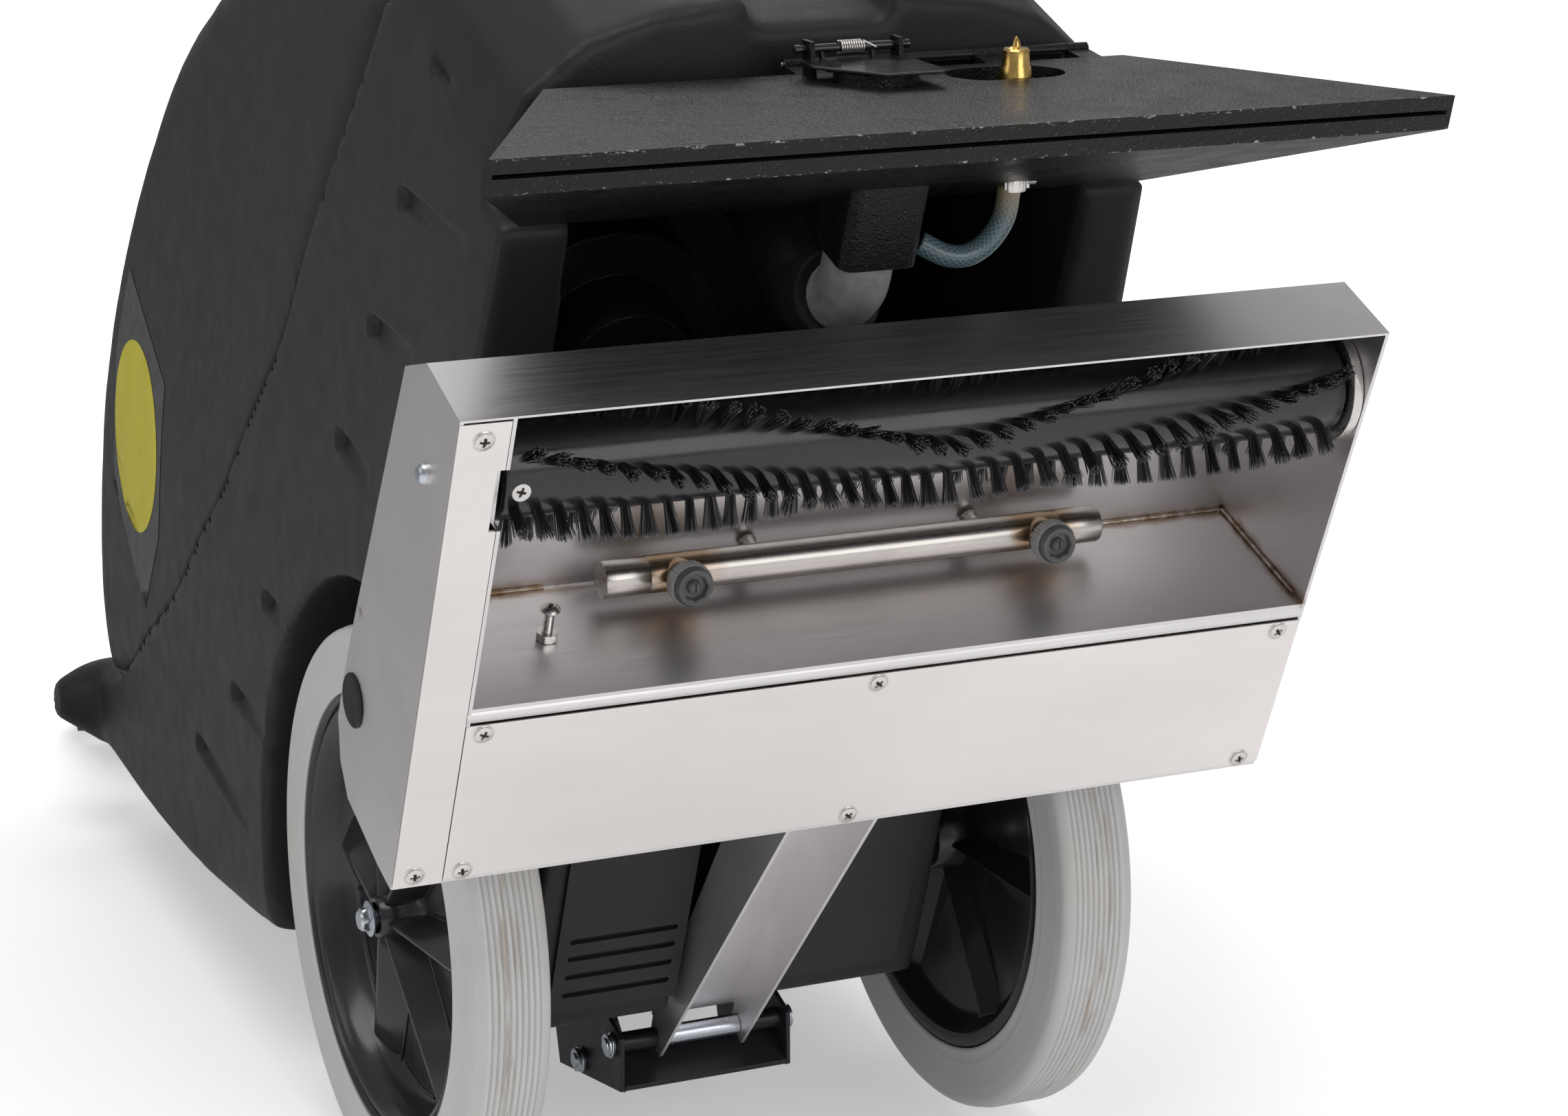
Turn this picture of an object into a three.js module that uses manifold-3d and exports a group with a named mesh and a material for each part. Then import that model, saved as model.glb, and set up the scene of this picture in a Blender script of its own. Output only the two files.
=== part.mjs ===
// Walk-behind carpet extractor, tipped back on its two wheels and its handle grips.
// Drawn upright: x across the machine, forward F along -y, height U over the floor along +z.
// The last lines lean it back about the wheel axle and centre it on the ground. Millimetres.
import * as THREE from 'three';
import { mergeVertices } from 'three/addons/utils/BufferGeometryUtils.js';
import Module from 'manifold-3d';

const wasm = await Module();
wasm.setup();

// ---- driving dimensions -------------------------------------------------------------------
const LEAN = 69.02;                    // degrees tipped back from the working stance
const GAP = 0.3;                       // clearance between neighbouring pieces
const SHEET = 2;                       // stainless sheet of the brush head

const WHEEL_R = 152.4, WHEEL_X = 162.3, TYRE_W = 41, RIM_R = 118.4;
const AXLE = [0, WHEEL_R];             // [F, U]
const AXLE_R = 8;

const BODY_W = 190;                    // half width of the tanks at the axle
const BODY_ROUND = 16;                 // edge radius of the moulded tanks
const TAPER_F = 0.05, TAPER_U = 0.05;  // how fast the tanks narrow forwards and upwards
const ARCH = { f: -15, u: 165, r: 182, inner: 112 };
const BAY = { f0: 196, f1: 448, w: 132, top: 318 };
const KEEL_U = 102;                    // underside of the keel between the wheels

const HEAD_W = 234;                    // half width of the brush head
const FACE_FRONT = [408.4, -2.1], FACE_REAR = [142.2, 10.3];
const SHELF_F = 245;                   // wall between brush chamber and motor box
const BELT_X = -209.5;                 // right edge of the belt box
const BRUSH = { at: [362, 29], core: 24, tip: 39.4, x0: -206, x1: 226 };
const MOTOR = { at: [192, 53], r: 38, x0: -205, x1: -30 };
const BRUSH_PULLEY_R = 22, MOTOR_PULLEY_R = 12;
const SPRAY = { at: [262.5, 70], r: 9.2, x0: -123, x1: 143, nozzles: [-85, 109] };

const PIVOT = [-86, 120];              // arm pivot shaft
const ARM_W = 25, BRACKET_W = 50;
const LIFT_AXIS = [-124, 152];

const SHOE_W = 234.8, SHOE_BACK_W = 150;
const SLOT_FRONT = [534.5, -0.6], SLOT_REAR = [517.5, -1.4];
const SHOE_TOP = [483, 148], SHOE_BACK = [425, 126];
const SHOE_HINGE = [480, 163];
const NECK = { w: 20, u0: 84, u1: 116, f0: 416, round: 6.5 };
const PORT = { x: 3, s: 128, r: 17 };  // s is measured up the front plate from the slot
const FLAP = { x0: -24, x1: 30, s: 154, lift: 12 };
const CONNECT = { x: 71, s: 119, r: 8 };
const POCKET = { x: [59.5, 81.5], s: 128, r: 18.5 };

const LEG_X = 120, LEG_R = 12.7, GRIP_R = 17;
const LEG_FOOT = [-268, 703], LEG_TOP = [-449, 945];

// ---- materials ----------------------------------------------------------------------------
const mat = (color, roughness, metalness) => () =>
  new THREE.MeshStandardMaterial({ color, roughness, metalness });
const blackPlastic = mat(0x3a383c, 0.7, 0);
const glossPlastic = mat(0x242228, 0.3, 0);
const greyPlastic = mat(0x8c8c8c, 0.5, 0);
const blackPaint = mat(0x2c2b30, 0.4, 0.3);
const stainless = mat(0xc9c0bb, 0.35, 1);
const zinc = mat(0xc4c8cc, 0.3, 1);
const brass = mat(0xc9a44a, 0.25, 1);
const tyreRubber = mat(0xbdbdbb, 0.8, 0);
const blackRubber = mat(0x1c1c1e, 0.9, 0);
const clearHose = mat(0x5d7078, 0.3, 0);

// ---- drawing helpers ----------------------------------------------------------------------
const at = (x, [f, u]) => new THREE.Vector3(x, -f, u);
const lerp = (a, b, t) => [a[0] + (b[0] - a[0]) * t, a[1] + (b[1] - a[1]) * t];
const unit = (a, b) => {
  const length = Math.hypot(b[0] - a[0], b[1] - a[1]);
  return [(b[0] - a[0]) / length, (b[1] - a[1]) / length];
};
const along = (p, d, t) => [p[0] + d[0] * t, p[1] + d[1] * t];
const shapeOf = points => new THREE.Shape(points.map(p => new THREE.Vector2(...p)));
const circle = (r, n = 24, cx = 0, cy = 0) => Array.from({ length: n }, (_, i) => {
  const a = i / n * 2 * Math.PI;
  return [cx + r * Math.cos(a), cy + r * Math.sin(a)];
});

// Side profile [F, U] drawn out from x = xa to x = xb, with optional holes.
function side(points, xa, xb, holes = []) {
  const shape = shapeOf(points);
  shape.holes = holes.map(h => new THREE.Path(h.map(p => new THREE.Vector2(...p))));
  const geometry = new THREE.ExtrudeGeometry(shape, { depth: xb - xa, bevelEnabled: false });
  return geometry.applyMatrix4(new THREE.Matrix4().set(
    0, 0, -1, xb, -1, 0, 0, 0, 0, 1, 0, 0, 0, 0, 0, 1));
}

const box = (x0, x1, f0, f1, u0, u1) => side([[f0, u0], [f1, u0], [f1, u1], [f0, u1]], x0, x1);

// Round bar between two points.
function rod(a, b, r, n = 12, rEnd = r) {
  const d = b.clone().sub(a);
  const geometry = new THREE.CylinderGeometry(rEnd, r, d.length(), n);
  const turn = new THREE.Quaternion().setFromUnitVectors(new THREE.Vector3(0, 1, 0),
    d.clone().normalize());
  geometry.applyQuaternion(turn);
  return geometry.translate(...a.clone().add(b).multiplyScalar(0.5).toArray());
}
const bar = (x0, x1, p, r, n = 12) => rod(at(x0, p), at(x1, p), r, n);

// Solid of revolution: [radius, distance] pairs, distance running from point a towards b.
function turned(profile, a, b, n = 20) {
  const points = profile.map(([r, d]) => new THREE.Vector2(r, d));
  const geometry = new THREE.LatheGeometry(points, n);
  const turn = new THREE.Quaternion().setFromUnitVectors(new THREE.Vector3(0, 1, 0),
    b.clone().sub(a).normalize());
  return geometry.applyQuaternion(turn).translate(...a.toArray());
}

// Round bar or hose along a smooth curve.
function pipe(points, r, steps = 10, n = 12, tension = 0.5) {
  const path = new THREE.CatmullRomCurve3(points, false, 'catmullrom', tension);
  return new THREE.ExtrudeGeometry(shapeOf(circle(r, n)), {
    steps, extrudePath: path, bevelEnabled: false });
}

// Closed skin through equal rings of points, capped at both ends.
function loft(rings) {
  const n = rings[0].length, position = rings.flat().flatMap(p => p.toArray()), index = [];
  for (let i = 0; i + 1 < rings.length; i++) for (let j = 0; j < n; j++) {
    const a = i * n + j, b = i * n + (j + 1) % n;
    index.push(a, b, b + n, a, b + n, a + n);
  }
  const last = (rings.length - 1) * n;
  for (let j = 1; j + 1 < n; j++) index.push(0, j + 1, j, last, last + j, last + j + 1);
  const geometry = new THREE.BufferGeometry();
  geometry.setAttribute('position', new THREE.Float32BufferAttribute(position, 3));
  geometry.setIndex(index);
  return geometry;
}

function solid(geometry) {
  const bare = geometry.clone();
  for (const name of Object.keys(bare.attributes)) {
    if (name !== 'position') bare.deleteAttribute(name);
  }
  const merged = mergeVertices(bare, 1e-4);
  const vertProperties = new Float32Array(merged.attributes.position.array);
  let triVerts = new Uint32Array(merged.index.array);
  triVerts = triVerts.filter((_, i) => {
    const t = i - i % 3, [a, b, c] = [triVerts[t], triVerts[t + 1], triVerts[t + 2]];
    return a !== b && b !== c && a !== c;
  });
  let made = new wasm.Manifold(new wasm.Mesh({ numProp: 3, vertProperties, triVerts }));
  if (made.volume() < 0) {
    const flipped = triVerts.map((_, i) => triVerts[i - i % 3 + 2 - i % 3]);
    made = new wasm.Manifold(new wasm.Mesh({ numProp: 3, vertProperties, triVerts: flipped }));
  }
  return made;
}
const whole = s => (s instanceof THREE.BufferGeometry ? solid(s) : s);
const join = (...parts) => parts.map(whole).reduce((a, b) => a.add(b));
const cut = (base, ...tools) => tools.map(whole).reduce((a, b) => a.subtract(b), whole(base));

const machine = new THREE.Group();
machine.name = 'carpet_extractor';

function add(name, form, material) {
  // Paper-thin slivers left where two faces coincide are dropped.
  const bodies = whole(form).decompose().filter(b => Math.abs(b.volume()) > 0.5);
  const mesh = bodies.reduce((a, b) => a.add(b)).getMesh();
  const geometry = new THREE.BufferGeometry();
  geometry.setAttribute('position', new THREE.Float32BufferAttribute(mesh.vertProperties, 3));
  geometry.setIndex(new THREE.Uint32BufferAttribute(mesh.triVerts, 1));
  const made = new THREE.Mesh(geometry, material());
  made.name = name;
  machine.add(made);
}

// ---- tanks --------------------------------------------------------------------------------
const SEAM = [[436, 331], [395, 345], [337, 368], [259, 397], [192, 414], [113, 452],
  [48, 481], [-4, 512], [-73, 553], [-145, 611], [-199, 651], [-246, 706]];

// Moulded tank: side profile with rounded edges, narrowing forwards and upwards.
function moulded(profile, halfWidth, round) {
  const geometry = new THREE.ExtrudeGeometry(shapeOf(profile), { depth: 2 * (1 - round),
    bevelEnabled: true, bevelSize: BODY_ROUND, bevelOffset: -BODY_ROUND,
    bevelThickness: round, bevelSegments: 3 });
  const p = geometry.attributes.position;
  for (let i = 0; i < p.count; i++) {
    const f = p.getX(i), u = p.getY(i), share = p.getZ(i) - 1 + round;
    const width = halfWidth - TAPER_F * Math.max(f, 0) - TAPER_U * Math.max(u - 150, 0);
    p.setXYZ(i, -share * width, -f, u);
  }
  return geometry;
}

// Wheel arch: a round recess open downwards on one side of the body.
function archTool(s) {
  const arc = circle(ARCH.r, 36, ARCH.f, ARCH.u).filter(p => p[1] >= ARCH.u - 1);
  const profile = [...arc, [ARCH.f - ARCH.r, 60], [ARCH.f + ARCH.r, 60]];
  const [x0, x1] = [ARCH.inner * s, 260 * s].sort((a, b) => a - b);
  return side(profile, x0, x1);
}

// Slanted finger grooves down the flank.
function grooves(s) {
  const runs = [[[443, 250], [457, 166]], [[362, 265], [390, 165]], [[281, 279], [302, 212]],
    [[200, 300], [211, 246]], [[44, 378], [54, 346]], [[-46, 415], [-25, 346]],
    [[-130, 478], [-99, 350]]];
  return runs.map(([a, b]) => {
    const x = p => s * (BODY_W - TAPER_F * Math.max(p[0], 0) - TAPER_U * (p[1] - 150) + 2.5);
    return rod(at(x(a), a), at(x(b), b), 8, 8, 5);
  });
}

// Screw caps: foot of the plug, a point beyond the mouth, and the radius of the grip.
const FILL = { foot: [-298, 754], mouth: [-298, 830], r: 20 };
const DRAIN = { foot: [-219, 511], mouth: [-293, 480.6], r: 24 };
const capBore = (x, { foot, mouth, r }) =>
  rod(at(x, lerp(foot, mouth, -0.02)), at(x, mouth), r - 5.4, 24);

const BUMPER = { at: [-291, 746], r: 21, x: 184 };      // rear bumper roll, wider than the tank

function addLowerTank() {
  const profile = [[421, 131], [421, 158], [478, 172], [504, 181], [502, 235], [478, 295],
    ...SEAM, [-262, 745], [-284, 770], [-312, 768], [-326, 748], [-318, 722], [-305, 700],
    [-263, 577], [-217, 465], [-171, 371], [-137, 306], [-132, 196], [-76, 196], [-52, KEEL_U],
    [172, KEEL_U], [188, 131]];
  const legDir = unit(LEG_FOOT, LEG_TOP);
  const nose = s => {                     // plan curve of the nose corners
    const corner = [[s * 34, 504], [s * 80, 500], [s * 118, 490], [s * 150, 466], [s * 168, 428],
      [s * 230, 420], [s * 230, 560], [s * 34, 560]];
    const geometry = new THREE.ExtrudeGeometry(shapeOf(corner), { depth: 260,
      bevelEnabled: false });
    return geometry.applyMatrix4(new THREE.Matrix4().set(
      1, 0, 0, 0, 0, -1, 0, 0, 0, 0, -1, 380, 0, 0, 0, 1));
  };
  const { at: mid, r: fat, x: wide } = BUMPER;
  const bumper = join(bar(8 - wide, wide - 8, mid, fat, 24), ...[-1, 1].map(s =>
    rod(at(s * (wide - 8), mid), at(s * wide, mid), fat, 24, fat - 7)));
  const body = cut(join(moulded(profile, BODY_W, 0.12), bumper),
    box(-BAY.w, BAY.w, BAY.f0, BAY.f1, 90, BAY.top),
    archTool(-1), archTool(1), nose(-1), nose(1), ...grooves(-1), ...grooves(1),
    box(-36, 36, 492, 540, 120, 300),
    rod(at(0, [378, 300]), at(0, [372, 380]), 25),
    bar(-300, 300, AXLE, AXLE_R + GAP),
    box(-29, 29, -90, 98, 90, 136),
    ...[-1, 1].map(s => rod(at(s * LEG_X, along(LEG_FOOT, legDir, 2)),
      at(s * LEG_X, along(LEG_FOOT, legDir, 140)), LEG_R + GAP)),
    capBore(0, FILL), capBore(-70, DRAIN));
  add('lower_tank', body, blackPlastic);
}

const LID = { at: [104, 737], normal: [0.336, 0.942], r: 84 };

function addRecoveryTank() {
  const raised = SEAM.map(([f, u]) => [f, u + GAP * 2]).reverse();
  const crown = [[434, 372], [408, 450], [370, 530], [330, 586], [284, 632], [239, 671],
    [196, 699], [154, 719], [116, 735], [73, 749], [28, 759], [-27, 768], [-71, 773],
    [-143, 766], [-205, 745]];
  const hollow = [[-214, 722], [-195, 668], [-145, 630], [-73, 573], [48, 501], [192, 434],
    [337, 388], [418, 362], [396, 446], [358, 524], [318, 580], [230, 662], [150, 705],
    [73, 732], [-71, 757], [-140, 752], [-198, 734]].reverse();
  const tank = cut(moulded([...raised, ...crown], BODY_W, 0.12),
    moulded(hollow, BODY_W - 12, 0.12),
    rod(at(0, along(LID.at, LID.normal, -60)), at(0, along(LID.at, LID.normal, 60)), 64, 32),
    rod(at(0, along(LID.at, LID.normal, -4)), at(0, along(LID.at, LID.normal, 60)),
      LID.r + 3, 32),
    rod(at(0, [378, 330]), at(0, [372, 420]), 25));
  add('recovery_tank', tank, blackPlastic);
}

function addLid() {
  const base = along(LID.at, LID.normal, -3.5);
  const dome = turned([[0, 0], [LID.r, 0], [LID.r, 9], [70, 15], [40, 27], [0, 31]],
    at(0, base), at(0, along(base, LID.normal, 1)));
  add('tank_lid', dome, glossPlastic);
}

// Screw cap seated in a bore of the rear wall.
function addCap(name, x, foot, mouth, r) {
  const cap = turned([[0, 0], [r - 6, 0], [r - 6, 16], [r, 16], [r, 30], [r - 3, 33], [0, 33]],
    at(x, foot), at(x, mouth));
  const d = unit(foot, mouth);
  const ridge = side([[-3, -r - 2], [3, -r - 2], [3, r + 2], [-3, r + 2]], -3, 3);
  const turn = new THREE.Quaternion().setFromUnitVectors(new THREE.Vector3(1, 0, 0),
    at(0, d).normalize());
  ridge.applyQuaternion(turn).translate(...at(x, along(foot, d, 27)).toArray());
  add(name, join(cap, ridge), glossPlastic);
}

function addUnderbody() {
  const slots = [10.3, -1.3, -13.6, -25.9].map(f => join(
    rod(at(-93, [f, 80]), at(-93, [f, 120]), 1.8, 10),
    rod(at(-36, [f, 80]), at(-36, [f, 120]), 1.8, 10),
    box(-93, -36, f - 1.8, f + 1.8, 80, 120)));
  add('underbody_panel', cut(box(-101, 101, -38, 153, 99.4, KEEL_U - GAP), ...slots,
    box(-29, 29, -60, 100, 90, 110)), blackPaint);
}

function addBay() {
  const foot = [290, 200];
  add('vacuum_motor', turned([[0, 0], [34, 0], [40, 8], [40, 30], [62, 34], [62, 96], [48, 117],
    [0, 117]], at(-62, foot), at(-62, [290, 201])), blackPaint);
  const bend = 26, lean = 55 * Math.PI / 180, mouth = [415.4, 101];
  const heel = [404, mouth[1] + bend], out = [-Math.cos(lean), Math.sin(lean)];
  const arc = [0, 1, 2, 3, 4].map(i => at(0, [heel[0] - bend * Math.sin(lean * i / 4),
    heel[1] - bend * Math.cos(lean * i / 4)]));
  const end = [heel[0] - bend * Math.sin(lean), heel[1] - bend * Math.cos(lean)];
  add('elbow_pipe', pipe([at(0, mouth), ...arc, at(0, along(end, out, 12))], 17.2, 12, 18),
    greyPlastic);
  add('hose_cuff', cut(turned([[0, 0], [22, 0], [23, 1.5], [22, 3], [21.4, 3], [21.4, 22], [20, 24],
    [0, 24]], at(0, along(end, out, 1)), at(0, along(end, out, 2)), 24),
    rod(at(0, along(end, out, -5)), at(0, along(end, out, 40)), 17.6, 24)), blackRubber);
  add('recovery_hose', pipe([at(0, along(end, out, 12.4)), at(0, along(end, out, 22)),
    at(0, along(end, out, 30)), at(0, [360.5, 154]), at(0, [367, 174]), at(0, [374, 198]),
    at(0, [379, 232]), at(0, [377, 310]), at(0, [373.5, 356])], 17.2, 16, 18), blackRubber);
}

// ---- running gear -------------------------------------------------------------------------
function addWheel(name, s) {
  const w = TYRE_W / 2, c = at(s * WHEEL_X, AXLE), out = at(s * (WHEEL_X + 1), AXLE);
  add('tyre_' + name, turned([[RIM_R, -w], [WHEEL_R - 13, -w], [WHEEL_R - 4, -w + 4],
    [WHEEL_R, -w + 12], [WHEEL_R, w - 12], [WHEEL_R - 4, w - 4], [WHEEL_R - 13, w], [RIM_R, w],
    [RIM_R, -w]], c, out, 40), tyreRubber);
  const r = RIM_R - 0.5;
  const web = turned([[AXLE_R + GAP, -w - 6], [18, -w - 6], [22, -6], [100, -6], [110, -w + 1],
    [r, -w + 1], [r, w - 1], [110, w - 1], [100, 2], [24, 2], [20, w + 1], [AXLE_R + GAP, w + 1],
    [AXLE_R + GAP, -w - 6]], c, out, 40);
  const spokes = Array.from({ length: 6 }, (_, i) => {
    const a = (i * 60 + 12) * Math.PI / 180;
    const p = (r2, t, x) => new THREE.Vector3(s * (WHEEL_X + x),
      r2 * Math.cos(a) - t * Math.sin(a), WHEEL_R + r2 * Math.sin(a) + t * Math.cos(a));
    return loft([[p(16, -6, 1), p(16, 6, 1), p(16, 0, w - 3)],
      [p(103, -22, 1), p(103, 22, 1), p(103, 0, 12)]]);
  });
  add('hub_' + name, join(web, ...spokes), glossPlastic);
  add('axle_nut_' + name, cut(turned([[0, 0], [9.4, 0], [9.4, 1.6], [7.4, 1.6], [7.4, 6], [5.8, 7.2],
    [0, 7.2]], at(s * (WHEEL_X + w + 1.4), AXLE), at(s * 300, AXLE), 24),
    bar(-230, 230, AXLE, 4.3)), zinc);
}

function addAxle() {
  const end = WHEEL_X + TYRE_W / 2 + 12;
  add('wheel_axle', join(bar(-end + 6, end - 6, AXLE, 4), bar(-170, 170, AXLE, AXLE_R)), zinc);
}

function addLift() {
  const cheek = [[-76, 112], [-104, 101], [-151, 180], [-134, 193], [-100, 193], [-76, 130]];
  const drill = [bar(-80, 80, PIVOT, 4.4), bar(-80, 80, LIFT_AXIS, 4.4)];
  const w = BRACKET_W, t = 2.5;
  const lip = side([[-101.5, 102], [-104, 101.2], [-99.5, 140], [-97, 140]], -w + 1, w - 1);
  add('lift_bracket', cut(join(side(cheek, -w, -w + t), side(cheek, w - t, w), lip,
    box(-w, w, -134, -100, 193 - t, 195.6)), ...drill), blackPaint);
  add('pivot_shaft', join(bar(-w - 5, w + 5, PIVOT, 4), bar(-w - 4, -w - 0.4, PIVOT, 6.5),
    bar(w + 0.4, w + 4, PIVOT, 6.5)), zinc);
  for (const [name, s] of [['left', -1], ['right', 1]]) {
    const x = [s * (ARM_W + 0.4), s * (w - t - 0.4)].sort((a, b) => a - b);
    add('pivot_spacer_' + name, cut(bar(x[0], x[1], PIVOT, 5.6), bar(-80, 80, PIVOT, 4.3)),
      glossPlastic);
  }
  const arm = side([[-130, 148], [-120, 146], [-110, 168], [-118, 172]], -34, -26);
  add('lift_shaft', join(bar(-w - 6, w + 6, LIFT_AXIS, 4), bar(-w - 5, -w - 0.4, LIFT_AXIS, 6.5),
    bar(w + 0.4, w + 5, LIFT_AXIS, 6.5), arm), zinc);
  add('lift_chain', pipe([at(-30, [-107.5, 166]), at(-24, [-96, 160]), at(-10, [-84, 158]),
    at(4, [-74, 150]), at(8, [-66, 135])], 1.6, 10, 6), zinc);
}

// ---- brush head ---------------------------------------------------------------------------
const faceAt = f => FACE_FRONT[1] + (FACE_REAR[1] - FACE_FRONT[1])
  * (f - FACE_FRONT[0]) / (FACE_REAR[0] - FACE_FRONT[0]);
// Plate lying in the open face of the head, from F = f0 to f1.
const facePlate = (x0, x1, f0, f1, t) => side([[f0, faceAt(f0)], [f1, faceAt(f1)],
  [f1, faceAt(f1) + t], [f0, faceAt(f0) + t]], x0, x1);

function addHeadShell() {
  const t = SHEET, w = HEAD_W;
  const outline = [FACE_FRONT, [410.5, 42.4], [394, 67], [231, 96], [206, 99.5], [176, 102],
    [156, 93], [144, 78], [140, 31], [140.3, 10.4]];
  const roof = f => 96 - (f - 231) * 29 / 163 - t;
  const chamber = [[SHELF_F + 1, -30], [FACE_FRONT[0] - t, -30], [410.5 - t, 41.5],
    [392, roof(392)], [SHELF_F + 1, roof(SHELF_F)]];
  const motorBox = [[142.2, -30], [SHELF_F - 1, -30], [SHELF_F - 1, roof(SHELF_F)], [206, 97.4],
    [176.6, 99.8], [157.4, 91.4], [146, 77.4]];
  const beltBox = [[142.2, -30], [FACE_FRONT[0] - t, -30], [410.5 - t, 41.5], [392, roof(392)],
    [231, 94], [206, 97.4], [176.6, 99.8], [157.4, 91.4], [146, 77.4]];
  const bead = bar(BELT_X, w - t, [240.5, faceAt(240.5) + 3.4], 4.2, 16);
  const shell = cut(join(cut(side(outline, -w, w), side(chamber, BELT_X + t, w - t),
    side(motorBox, BELT_X + t, w - t), side(beltBox, -w + t, BELT_X)), bead),
    facePlate(BELT_X + 0.2, w + 5, 138, 236, 1.8), facePlate(-w - 5, BELT_X + 0.2, 138, 406.4, 1.8),
    box(-w - 5, w + 5, 138, 236, -30, faceAt(236) - 0.2),
    bar(-230, BELT_X + 5, BRUSH.at, 10.4), bar(-w - 5, w + 5, BRUSH.at, 3.4),
    bar(BELT_X - 5, BELT_X + 5, MOTOR.at, 10.4),
    bar(-w - 5, -w + 5, [198, 84], 12.4, 20), box(BELT_X - 4, BELT_X + t + 2, 347, 380, -30, 9),
    rod(at(-155, [230, 51]), at(-155, [260, 51]), 2.9, 12));
  add('head_shell', shell, stainless);
}

function addCovers() {
  const w = HEAD_W;
  const screwHoles = (xs, f) => xs.map(x => rod(at(x, [f, -20]), at(x, [f, 30]), 2.4, 8));
  add('motor_cover', cut(facePlate(BELT_X + 0.4, w - 0.2, 143.7, 235.7, 1.5),
    ...screwHoles([-200.2, 0, 221.8], 230.4), ...screwHoles([-200.2, 0, 221.8], 147.5)),
    stainless);
  add('belt_cover', cut(facePlate(-w + 0.2, BELT_X, 141.5, 406.1, 1.5),
    box(BELT_X - 3.5, BELT_X + 5, 347, 380, -30, 30),
    ...screwHoles([-221.6], 396.7), ...screwHoles([-223.8], 148.2)), stainless);
  add('side_plug', turned([[0, 0], [12, 0], [12, 3.3], [13.4, 3.3], [13.4, 4], [12.4, 4.6], [0, 4.6]],
    at(-w + 3, [198, 84]), at(-w, [198, 84]), 28), blackRubber);
}

// Brush roller: core tube with chevron rows of bristle, the chevrons meeting near the middle.
const CHEVRON = { rows: 6, middle: 12, start: -101 * Math.PI / 180, twist: 0.0075 };

function addBrush() {
  const { at: c, core, tip, x0, x1 } = BRUSH, { rows, middle } = CHEVRON, steps = 6;
  const row = (start, xa, xb) => loft(Array.from({ length: steps + 1 }, (_, i) => {
    const x = xa + (xb - xa) * i / steps;
    const a = start - Math.abs(x - middle) * CHEVRON.twist;
    const p = (r, t) => new THREE.Vector3(x, -c[0] + r * Math.cos(a) - t * Math.sin(a),
      c[1] + r * Math.sin(a) + t * Math.cos(a));
    return [p(core - 2, -2.5), p(core - 2, 2.5), p(tip, 3.5), p(tip, -3.5)];
  }));
  const ribs = [];
  for (let k = 0; k < rows; k++) {
    const start = CHEVRON.start + k * 2 * Math.PI / rows;
    ribs.push(row(start, x0 + 6, middle), row(start, middle, x1 - 6));
  }
  const tube = turned([[0, 0], [core, 0], [core, x1 - x0], [0, x1 - x0]], at(x0, c), at(x1, c));
  add('brush_roller', cut(join(tube, ...ribs), bar(-240, 240, c, 6.4)), blackPlastic);
  add('brush_pulley', cut(join(bar(-230, -214, c, BRUSH_PULLEY_R, 32), bar(-214.5, -206.4, c, 10)),
    bar(-240, -200, c, 6.4)), glossPlastic);
  add('bearing_ring', cut(join(bar(226.6, 231.7, c, 29, 40)), bar(220, 240, c, 6.4)), stainless);
  for (const [name, s] of [['left', -1], ['right', 1]]) {
    const end = s * HEAD_W;
    add('axle_bolt_' + name, turned([[0, 0], [6, 0], [6, 210.6], [3, 211], [3, 216.3], [5, 216.3],
      [5, 217.6], [4.2, 219.2], [2.4, 220.5], [0, 220.5]], at(s < 0 ? -18 : 18, c), at(end, c), 20), stainless);
  }
}

// Points round two pulleys joined by their outer tangents.
function beltLine(c1, r1, c2, r2) {
  const d = Math.hypot(c2[0] - c1[0], c2[1] - c1[1]);
  const base = Math.atan2(c2[1] - c1[1], c2[0] - c1[0]), lean = Math.acos((r1 - r2) / d);
  const arc = (c, r, from, to) => Array.from({ length: 13 }, (_, i) => {
    const a = from + (to - from) * i / 12;
    return [c[0] + r * Math.cos(a), c[1] + r * Math.sin(a)];
  });
  return [...arc(c1, r1, base + lean, base + 2 * Math.PI - lean),
    ...arc(c2, r2, base - lean, base + lean)];
}

function addDrive() {
  const { at: c, r, x0, x1 } = MOTOR;
  add('brush_motor', turned([[0, 0], [r, 0], [r, x1 - x0 - 12], [24, x1 - x0], [0, x1 - x0]],
    at(x0, c), at(x1, c), 28), blackPaint);
  add('motor_pulley', join(bar(-230, -214, c, MOTOR_PULLEY_R, 24), bar(-214.5, x0 - GAP, c, 6)),
    zinc);
  const loop = e => beltLine(BRUSH.at, BRUSH_PULLEY_R + e, c, MOTOR_PULLEY_R + e);
  add('drive_belt', side(loop(2.6), -228, -216, [loop(0.3)]), blackRubber);
}

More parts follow.
